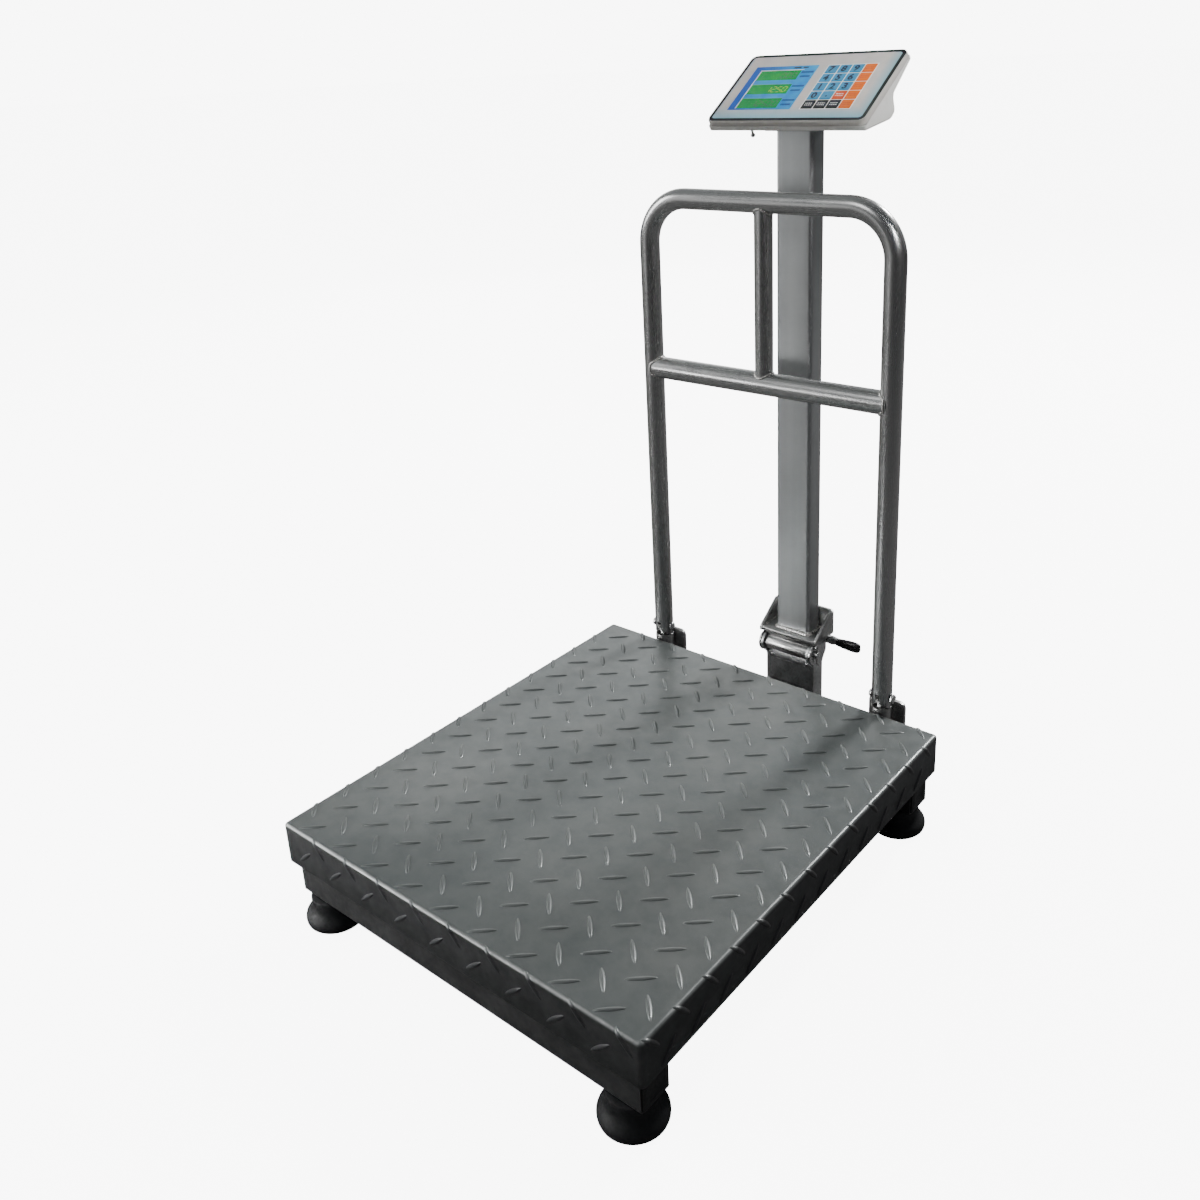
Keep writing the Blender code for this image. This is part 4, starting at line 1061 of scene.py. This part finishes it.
# ---- bead round the column's foot
blo, bhi = B("upper_bracket")
foot_z = lo.z
pts = []
ol = rounded(CW + 0.8, CD + 0.8, 5.2, 5)
for i, (x, y) in enumerate(ol):
    n = Vector((x / (CW + 1), y / (CD + 1), 0.9))
    pts.append((Vector((x, CYC + y, foot_z + 0.6)), n))
weld("column_foot_weld", pts, 3.1, "mast", pitch=3.6, seed=11)

# beads where the bracket's side plates meet the flat plate
for sx in (-1, 1):
    x = sx * (bhi.x - 4.6)
    pts = [(Vector((x, yy, foot_z + 0.2)), Vector((-sx, 0, 1))) for yy in (blo.y + 14, blo.y + 24, blo.y + 34, blo.y + 46)]
    weld("bracket_side_weld_" + ("left" if sx < 0 else "right"), pts, 1.4, "mast", closed=False, pitch=3.0, seed=31 + sx)

# ================================================================ clamp
refined("clamp_bolt", M_ZINC, 0.3, angle=40)
refined("clamp_lever", M_ZINC, 0.6)
lo, hi = B("lever_grip")


def paddle():
    """Flat dipped grip: an oval section that swells and then rounds off at its end."""
    x0, x1 = lo.x, hi.x
    cy, cz = (lo.y + hi.y) / 2, (lo.z + hi.z) / 2 - 0.3
    rings = []
    prof = [(0.0, 2.6, 4.2), (0.02, 3.0, 4.9), (0.10, 3.3, 5.4), (0.28, 3.6, 6.2), (0.5, 3.8, 7.0), (0.72, 3.9, 7.3),
            (0.86, 3.8, 7.0), (0.94, 3.4, 6.2), (0.985, 2.5, 4.8), (1.0, 1.2, 2.6)]
    for t, hy, hz in prof:
        ring = []
        for k in range(32):
            w = 2 * math.pi * k / 32
            c, s = math.cos(w), math.sin(w)
            e = 0.62
            ring.append(Vector((x0 + (x1 - x0) * t, cy + hy * math.copysign(abs(c) ** e, c), cz + hz * math.copysign(abs(s) ** e, s))))
        rings.append(ring)
    v, f = loft(rings)
    make("lever_paddle", v, f, M_GRIP, "clamp", replaces="lever_grip", slot="black_plastic", sharp=60)


paddle()
# centre of the clamp bolt
lo, hi = B("clamp_bolt")
ccx, ccz = (lo.x + hi.x) / 2, (lo.z + hi.z) / 2

# ================================================================ display head
HT = math.radians(34.0)
cosT, sinT = math.cos(HT), math.sin(HT)
plo, phi = B("overlay_panel")
# the panel's surface centre: its box holds the film's rotated slab
HC = Vector((0.0, (plo.y + phi.y) / 2 + 0.4 * sinT * -1 * -1, (plo.z + phi.z) / 2 + 0.4 * cosT))
HC.y = (plo.y + phi.y) / 2 - 0.4 * sinT


def H(u, v, n):
    """Head coordinates: u across, v up the slope, n out of the panel."""
    return HC + Vector((u, v * cosT - n * sinT, v * sinT + n * cosT))


def head_prism(name, outline, n0, n1, mat, body="mast", bevel=0.0, **kw):
    """Flat shape from an outline in (u, v), from n0 to n1, its top edge softened."""
    cu = sum(p[0] for p in outline) / len(outline)
    cv = sum(p[1] for p in outline) / len(outline)

    def sc(p, d):
        if d == 0:
            return p
        du, dv = p[0] - cu, p[1] - cv
        L = math.hypot(du, dv) or 1.0
        return (p[0] - du / L * d, p[1] - dv / L * d)
    levels = [(0.0, n0), (0.0, n1 - bevel), (bevel * 0.3, n1 - bevel * 0.3), (bevel, n1)] if bevel else [(0.0, n0), (0.0, n1)]
    rings = [[H(*sc(p, d), n) for p in outline] for d, n in levels]
    v, f = loft(rings)
    return make(name, v, f, mat, body, **kw)


def rect(u0, u1, v0, v1, r=0.0, seg=4):
    if r <= 0:
        return [(u1, v1), (u0, v1), (u0, v0), (u1, v0)]
    cu, cv = (u0 + u1) / 2, (v0 + v1) / 2
    return [(x + cu, y + cv) for x, y in rounded((u1 - u0) / 2, (v1 - v0) / 2, r, seg)]


def ring_plate(name, outer, inner, n0, n1, mat, body="mast", **kw):
    """A flat frame between two outlines with the same number of points."""
    rings = [[H(*p, n0) for p in outer], [H(*p, n1) for p in outer], [H(*p, n1) for p in inner], [H(*p, n0) for p in inner]]
    v, f = loft(rings, closed=True, caps=False)
    return make(name, v, f, mat, body, **kw)


PU, PV = 102.5, 61.0
CU, CV = 105.5, 64.0

# ---- front bezel: rounded lip round the film
seg = 10
levels = [  # inset from the outer edge, n, corner radius
    (3.0, -8.0), (0.35, -8.0), (0.0, -7.6), (0.0, -2.4), (0.25, -1.3), (0.9, -0.45), (1.8, -0.05), (2.5, 0.0), (2.68, -0.12),
    (2.7, -1.1), (8.0, -1.1), (8.5, -1.3), (8.5, -3.4), (3.0, -3.6)]
rings = []
for inset, n in levels:
    rings.append([H(x, y, n) for x, y in rounded(CU - inset, CV - inset, max(9.0 - inset, 1.2), seg)])
v, f = loft(rings, closed=True, caps=False)
# the bezel takes the darker copy of the case plastic, a painted shade
make("head_front_bezel", v, f, M_BEZEL_SHADE, "mast", replaces="head_bezel", slot="case_plastic", sharp=40)

# ---- film: the CAD solid keeps its windows, under printed layers
film_o = frame["nodes"]["overlay_panel"]
film_o.data.materials.clear()
film_o.data.materials.append(M_FILM)

outer = rounded(CU - 1.15, CV - 1.15, 7.9, seg)
inner = rounded(PU - 2.4, PV - 2.4, 4.4, seg)
ring_plate("film_black_rim", outer, inner, -0.12, 0.12, M_RIM, slot="panel_film")

# blue display field, cut round the three windows
LU0, LU1, LH = -75.0, -19.0, 9.2
LV = (21.5, -4.7, -30.9)
FU0, FU1, FV0, FV1 = -86.0, 1.0, -43.0, 39.0


def field_piece(name, u0, u1, v0, v1, mat, n=0.07):
    return head_prism(name, rect(u0, u1, v0, v1), -0.02, n, mat, slot="panel_film")


field_piece("field_left", FU0, LU0 - 1.6, FV0, FV1, M_BLUE)
field_piece("field_top", LU0 - 1.6, FU1, LV[0] + LH + 1.4, FV1, M_BLUE)
field_piece("field_bottom", LU0 - 1.6, FU1, FV0, LV[2] - LH, M_BLUE)
for i in range(2):
    field_piece(f"field_between_{i}", LU0 - 1.6, LU1, LV[i + 1] + LH, LV[i] - LH, M_BLUE_L)
field_piece("field_right", LU1, FU1, LV[2] - LH, LV[0] + LH + 1.4, M_BLUE_L)
# fine white line down the windows' left and over their top
field_piece("line_left", LU0 - 1.55, LU0 - 0.35, LV[2] - LH, LV[0] + LH + 1.4, M_WHITE, 0.09)
field_piece("line_top", LU0 - 0.35, LU1 + 3.0, LV[0] + LH + 0.3, LV[0] + LH + 1.3, M_WHITE, 0.09)
# plain label bars right of each window
for i, vc in enumerate(LV):
    field_piece(f"label_bar_{i}a", LU1 + 1.6, FU1 - 2.0, vc + 3.2, vc + 6.6, M_BLUE_D, 0.10)
    field_piece(f"label_bar_{i}b", LU1 + 3.2, FU1 - 3.6, vc - 4.8, vc - 1.6, M_BLUE_D, 0.10)
field_piece("label_top_a", -32.0, -22.0, 34.2, 36.6, M_DIGIT, 0.10)
field_piece("label_top_b", -19.0, -12.0, 34.2, 36.6, M_DIGIT, 0.10)

# ---- display windows with seven-segment figures
lcd_o = frame["nodes"]["lcd_display"]
lcd_o.data.materials.clear()
lcd_o.data.materials.append(M_LCD)
SEGS = {"0": "abcdef", "1": "bc", "2": "abged", "3": "abgcd", "4": "fgbc", "5": "afgcd", "6": "afgedc", "7": "abc",
        "8": "abcdefg", "9": "abcdfg"}


def seven(name, text, u_right, vc, h, mat, n0):
    """Right-aligned seven-segment figures as thin raised strips."""
    w, t, slant = h * 0.52, h * 0.115, 0.10
    verts, faces = [], []

    def strip(p0, p1):
        (x0, y0), (x1, y1) = p0, p1
        dx, dy = x1 - x0, y1 - y0
        L = math.hypot(dx, dy)
        dx, dy = dx / L, dy / L
        px, py = -dy * t / 2, dx * t / 2
        g = t * 0.42
        pts = [(x0 + dx * g, y0 + dy * g), (x0 + dx * (g + t / 2) + px, y0 + dy * (g + t / 2) + py),
               (x1 - dx * (g + t / 2) + px, y1 - dy * (g + t / 2) + py), (x1 - dx * g, y1 - dy * g),
               (x1 - dx * (g + t / 2) - px, y1 - dy * (g + t / 2) - py), (x0 + dx * (g + t / 2) - px, y0 + dy * (g + t / 2) - py)]
        b = len(verts)
        for nn in (n0, n0 + 0.06):
            for x, y in pts:
                verts.append(H(x + (y - vc) * slant, y, nn))
        faces.append(tuple(b + i for i in range(5, -1, -1)))
        faces.append(tuple(b + 6 + i for i in range(6)))
        for i in range(6):
            j = (i + 1) % 6
            faces.append((b + i, b + j, b + 6 + j, b + 6 + i))
    x = u_right
    for ch in reversed(text):
        if ch == ".":
            strip((x + 0.35, vc - h / 2), (x + 1.5, vc - h / 2))
            continue
        x -= w
        top, mid, bot = vc + h / 2, vc, vc - h / 2
        where = {"a": ((x, top), (x + w, top)), "b": ((x + w, mid), (x + w, top)), "c": ((x + w, bot), (x + w, mid)),
                 "d": ((x, bot), (x + w, bot)), "e": ((x, bot), (x, mid)), "f": ((x, mid), (x, top)), "g": ((x, mid), (x + w, mid))}
        for s in SEGS[ch]:
            strip(*where[s])
        x -= h * 0.24
    return make(name, verts, faces, mat, "mast", slot="lcd_green", smooth=False)


for i, (vc, text) in enumerate(zip(LV, ("0.00", "12.50", "125.00"))):
    head_prism(f"lcd_window_{i}", rect(LU0 + 0.25, LU1 - 0.25, vc - LH + 0.25, vc + LH - 0.25), -1.15, -0.12, M_LCD, slot="lcd_green")
    seven(f"lcd_figures_{i}", text, LU1 - 4.0, vc - 0.4, 9.6, M_SEG if i == 0 else M_SEGY if i == 1 else M_SEG, -0.13)

# ---- white keypad ground between the keys
K0U, K0V, KP = 22.0, 30.0, 16.2
for i in range(5):
    u = K0U + KP * (i - 0.5)
    field_piece(f"keypad_line_u{i}", u - 0.5, u + 0.5, K0V - KP * 4.5 - 0.5, K0V + KP * 0.5 + 0.5, M_WHITE, 0.11 + 0.004 * i)
for i in range(6):
    v_ = K0V + KP * (0.5 - i)
    field_piece(f"keypad_line_v{i}", K0U - KP * 0.5 - 0.5, K0U + KP * 3.5 + 0.5, v_ - 0.5, v_ + 0.5, M_WHITE, 0.10)


def digit(name, ch, u, v_, size, mat, body, n):
    """A printed figure as a thin raised mesh."""
    cu = bpy.data.curves.new(name, "FONT")
    cu.body = ch
    cu.size = size
    cu.offset = size * 0.042
    cu.extrude = 0.045
    cu.resolution_u = 4
    to = bpy.data.objects.new(name + "_src", cu)
    col.objects.link(to)
    dg = bpy.context.evaluated_depsgraph_get()
    me = bpy.data.meshes.new_from_object(to.evaluated_get(dg))
    bpy.data.objects.remove(to)
    xs = [p.co.x for p in me.vertices]
    ys = [p.co.y for p in me.vertices]
    cx, cy = (min(xs) + max(xs)) / 2, (min(ys) + max(ys)) / 2
    for p in me.vertices:
        q = H(u + (p.co.x - cx) * 0.98, v_ + p.co.y - cy, n + p.co.z)
        p.co = q * MM
    bm = bmesh.new()
    bm.from_mesh(me)
    bmesh.ops.remove_doubles(bm, verts=bm.verts, dist=1e-7)
    bmesh.ops.recalc_face_normals(bm, faces=bm.faces)
    bm.to_mesh(me)
    bm.free()
    return dress(name, me, mat, body, smooth=False)


KEYS = [["key_7", "key_8", "key_9", "key_memory_1"], ["key_4", "key_5", "key_6", "key_memory_2"],
        ["key_1", "key_2", "key_3", "key_memory_3"], ["key_0", "key_dot", "key_clear", "key_memory_4"],
        ["key_zero", "key_tare", "key_total", "key_memory_5"]]
for row in range(5):
    for c_ in range(4):
        node = KEYS[row][c_]
        u, v_ = K0U + KP * c_, K0V - KP * row
        mat, slot = M_KBLUE, "key_blue"
        if c_ == 3:
            mat, slot = M_KORANGE, "key_orange"
        elif row == 4:
            mat, slot = M_KBLACK, "key_black"
        elif node == "key_clear":
            mat, slot = M_KRED, "key_red"
        h = 7.4
        rings = []
        for inset, n in ((0.0, -2.6), (0.0, 0.18), (0.08, 0.38), (0.30, 0.53), (0.75, 0.58), (2.5, 0.60)):
            rings.append([H(u + x, v_ + y, n) for x, y in rounded(h - inset, h - inset, max(1.1 - inset * 0.4, 0.5), 4)])
        vv, ff = loft(rings)
        make(node + "_cap", vv, ff, mat, node, replaces=node, slot=slot, sharp=50)
        if node[4:].isdigit():
            digit(node + "_figure", node[4:], u - 0.3, v_ - 0.1, 13.6, M_DIGIT, node, 0.585)
        elif node == "key_dot":
            head_prism(node + "_mark", rounded(1.25, 1.25, 1.2, 6) and [(u + x, v_ - 2.0 + y) for x, y in rounded(1.25, 1.25, 1.2, 6)],
                       0.56, 0.64, M_DIGIT, node, slot="key_black")
        else:
            # plain rows of short dashes stand in for captions
            rnd = random.Random(row * 7 + c_)
            m = M_WHITE if row == 4 and c_ < 3 else M_DIGIT if c_ == 3 else M_WHITE
            if c_ == 3:
                m = ORANGE_MARK = M_KRED
            for line in range(2):
                x = u - 4.6
                k = 0
                while x < u + 4.2:
                    w = rnd.uniform(1.3, 2.6)
                    w = min(w, u + 4.8 - x)
                    head_prism(f"{node}_dash_{line}{k}", rect(x, x + w, v_ + 1.0 - line * 3.2, v_ + 2.1 - line * 3.2), 0.56, 0.635, m, node,
                               slot="panel_film")
                    x += w + 0.8
                    k += 1

# ---- rear shell: the CAD profile with generous rounded edges
shell_prof = [(-64.0, -8.3), (-64.0, -13.5), (-61.5, -15.6), (-12.0, -39.6), (-7.5, -40.6), (0.5, -39.4), (3.6, -36.0),
              (7.0, -23.6), (10.2, -20.4), (59.0, -13.8), (62.6, -12.4), (64.0, -8.3)]


def inset_outline(pts, d):
    n = len(pts)
    area = sum(pts[i][0] * pts[(i + 1) % n][1] - pts[(i + 1) % n][0] * pts[i][1] for i in range(n))
    s = 1.0 if area > 0 else -1.0
    out = []
    for i in range(n):
        p0, p1, p2 = Vector(pts[i - 1]), Vector(pts[i]), Vector(pts[(i + 1) % n])
        e1, e2 = (p1 - p0).normalized(), (p2 - p1).normalized()
        n1, n2 = Vector((-e1.y, e1.x)) * s, Vector((-e2.y, e2.x)) * s
        m = n1 + n2
        m = m / m.length
        out.append(tuple(p1 + m * (d / max(m.dot(n1), 0.35))))
    return out


def rear_shell():
    """The case back: its edges are rounded all round, and its front edge stays full size to meet the bezel."""
    R, steps = 4.0, 6

    def section(x, inset):
        out = []
        for (p0, q0), (p, q) in zip(shell_prof, inset_outline(shell_prof, inset)):
            out.append(H(x, p, -8.05) if q0 > -8.4 else H(x, p, min(q, -8.6)))
        return out
    rings = []
    for i in range(steps + 1):
        a = math.radians(90 * i / steps)
        rings.append(section(-CU + R * (1 - math.cos(a)), R * (1 - math.sin(a))))
    for x in (-60.0, -20.0, 20.0, 60.0):
        rings.append(section(x, 0.0))
    for i in range(steps, -1, -1):
        a = math.radians(90 * i / steps)
        rings.append(section(CU - R * (1 - math.cos(a)), R * (1 - math.sin(a))))
    v, f = loft(rings)
    return make("head_rear_case", v, f, M_CASE, "mast", replaces="head_rear_shell", slot="case_plastic", sharp=24)


rear_shell()

# ---- screws in the case's corners and vents
for i, (u, v_) in enumerate(((-92, 50), (92, 50), (-92, 18), (92, 18))):
    n = -20.4 + (v_ - 10.2) * (6.6 / 48.8)
    at = H(u, v_, n + 0.4)
    d = Vector((0, sinT, -cosT))
    lathe(f"case_screw_{i}", [(0, 0.9), (1.0, 0.9), (1.3, 1.5), (3.2, 1.2), (3.7, 0.6), (3.8, -1.5), (0, -1.5)], at, d, 24, M_ZINC, "mast",
          slot="bright_zinc")
    # a dark cross in each screw head: painted shade of its recess
    for k, (du, dv) in enumerate(((2.1, 0.4), (0.4, 2.1))):
        head_prism(f"case_screw_{i}_slot_{k}", rect(u - du, u + du, v_ - dv, v_ + dv), n - 1.35, n + 0.2, M_SHADE_FILL)
# dark bars on the case back stand in for the vent slots: painted shade of the openings
for k in range(7):
    v_ = 22.0 + k * 4.4
    n = -20.4 + (v_ - 10.2) * (6.6 / 48.8)
    head_prism(f"case_vent_{k}", rect(-34.0, 34.0, v_ - 0.8, v_ + 0.8, 0.7, 3), n - 0.35, n + 0.6, M_SHADE_FILL)

for node, mat, width in (("main_board", M_BOARD, 0.0), ("battery", M_BATT, 0.5)):
    if width:
        refined(node, mat, width)
    else:
        frame["nodes"][node].data.materials.clear()
        frame["nodes"][node].data.materials.append(mat)

# ---- toggle switch: finished lever, with its threaded collar and nut on the case
refined("power_switch", M_ZINC, 0.0)
lo, hi = B("power_switch")
swu = (lo.x + hi.x) / 2
under = Vector((49.5, -24.0)).normalized()
n_sw = -15.6 + (-49.5 + 61.5) * (-24.0 / 49.5)
dirw = (H(0, under.y, -under.x) - H(0, 0, 0)).normalized()
at = H(swu, -49.5, n_sw)
lathe("switch_collar", [(2.95, -1.5), (4.6, -1.5), (4.6, 0.3), (4.2, 0.3), (4.2, 1.9), (3.9, 2.2), (3.1, 2.2), (2.95, 1.9), (2.95, -1.5)],
      at, dirw, 24, M_ZINC, "mast", slot="bright_zinc")

# ---- every CAD node still showing gets one of the finished materials
for n, o in frame["nodes"].items():
    if not o.hide_render and (not o.data.materials or not o.data.materials[0] or o.data.materials[0].name not in
                              {m.name for m in (M_FILM, M_LCD, M_ZINC, M_BOARD)}):
        o.data.materials.clear()
        o.data.materials.append(M_PLATE)

# ================================================================ floor and light
floor_m = Mat("studio_floor", rough=0.7, Specular_IOR_Level=0.1)
fn = floor_m.noise(0.9, 2.0)
floor_m.colour(floor_m.mix(floor_m.span(fn, 0.3, 0.7), (0.88, 0.88, 0.88), (0.90, 0.90, 0.90)))
# bright to the camera, dimmer to the steel's reflections, as a lit floor with flags round the object is
glow = floor_m.node("ShaderNodeEmission")
glow.inputs["Color"].default_value = (1.0, 1.0, 1.0, 1.0)
glow.inputs["Strength"].default_value = 8.0
add = floor_m.node("ShaderNodeAddShader")
floor_m.link(floor_m.b.outputs[0], add.inputs[0])
floor_m.link(glow.outputs[0], add.inputs[1])
dim = floor_m.node("ShaderNodeBsdfDiffuse")
dim.inputs["Color"].default_value = (0.17, 0.17, 0.17, 1.0)
pick = floor_m.node("ShaderNodeMixShader")
floor_m.link(floor_m.node("ShaderNodeLightPath").outputs["Is Camera Ray"], pick.inputs[0])
floor_m.link(dim.outputs[0], pick.inputs[1])
floor_m.link(add.outputs[0], pick.inputs[2])
floor_m.link(pick.outputs[0], floor_m.t.nodes["Material Output"].inputs["Surface"])
me = bpy.data.meshes.new("floor")
s = 60.0
me.from_pydata([(-s, -s, 0), (s, -s, 0), (s, s, 0), (-s, s, 0)], [], [(0, 1, 2, 3)])
me.materials.append(floor_m.m)
fl = bpy.data.objects.new("studio_floor", me)
col.objects.link(fl)


def area(name, at, to, sx, sy, power, colour=(1, 1, 1)):
    li = bpy.data.lights.new(name, "AREA")
    li.shape = "RECTANGLE"
    li.size, li.size_y = sx, sy
    li.energy = power
    li.color = colour
    o = bpy.data.objects.new(name, li)
    col.objects.link(o)
    o.location = at
    o.rotation_euler = (Vector(to) - Vector(at)).to_track_quat("-Z", "Y").to_euler()
    o.visible_camera = False
    return o


area("rear_key", (0.45, 3.3, 2.6), (0, 0, 0.4), 0.5, 0.5, 130)
area("rear_left_panel", (-2.7, 2.5, 1.45), (0, 0, 0.2), 2.4, 2.0, 18)
area("left_key", (-2.9, -1.3, 1.5), (0, 0, 0.4), 1.0, 1.6, 40)
area("front_left_panel", (-1.7, -2.7, 0.75), (0, 0.1, 0.45), 1.7, 1.4, 4)
low_light = area("low_left_panel", (-1.25, -1.55, 0.36), (-0.22, -0.28, 0.07), 0.6, 0.5, 1.1)
low_light.data.spread = math.radians(30)
area("front_high_softbox", (-0.7, -2.3, 2.9), (0, 0.2, 0.6), 1.3, 1.0, 17)
head_light = area("head_side_light", (1.6, -0.3, 1.7), (0.1, 0.31, 0.88), 0.3, 0.3, 0.6)
head_light.data.spread = math.radians(15)

w = bpy.data.worlds.new("studio")
bpy.context.scene.world = w
w.use_nodes = True
nt = w.node_tree
bg = nt.nodes["Background"]
out = nt.nodes["World Output"]
# light comes mostly from the left and the back; the right side is flagged off
tc = nt.nodes.new("ShaderNodeTexCoord")
dot = nt.nodes.new("ShaderNodeVectorMath")
dot.operation = "DOT_PRODUCT"
dot.inputs[1].default_value = Vector((-0.72, 0.50, 0.18)).normalized()
nt.links.new(tc.outputs["Generated"], dot.inputs[0])
wr = nt.nodes.new("ShaderNodeMapRange")
wr.inputs["From Min"].default_value = -0.9
wr.inputs["From Max"].default_value = 1.0
wr.inputs["To Min"].default_value = 0.0
wr.inputs["To Max"].default_value = 1.0
nt.links.new(dot.outputs["Value"], wr.inputs["Value"])
ramp = nt.nodes.new("ShaderNodeValToRGB")
e = ramp.color_ramp.elements
e[0].position, e[0].color = 0.0, (0.050, 0.052, 0.056, 1)
e[1].position, e[1].color = 1.0, (0.34, 0.36, 0.36, 1)
m1 = e.new(0.38)
m1.color = (0.095, 0.100, 0.106, 1)
m2 = e.new(0.68)
m2.color = (0.235, 0.248, 0.252, 1)
nt.links.new(wr.outputs["Result"], ramp.inputs["Fac"])
nt.links.new(ramp.outputs["Color"], bg.inputs["Color"])
bg.inputs["Strength"].default_value = 1.0
lp = nt.nodes.new("ShaderNodeLightPath")
bg2 = nt.nodes.new("ShaderNodeBackground")
bg2.inputs["Color"].default_value = (1.0, 1.0, 1.0, 1)
bg2.inputs["Strength"].default_value = 8.4
mx = nt.nodes.new("ShaderNodeMixShader")
nt.links.new(lp.outputs["Is Camera Ray"], mx.inputs[0])
nt.links.new(bg.outputs[0], mx.inputs[1])
nt.links.new(bg2.outputs[0], mx.inputs[2])
nt.links.new(mx.outputs[0], out.inputs["Surface"])
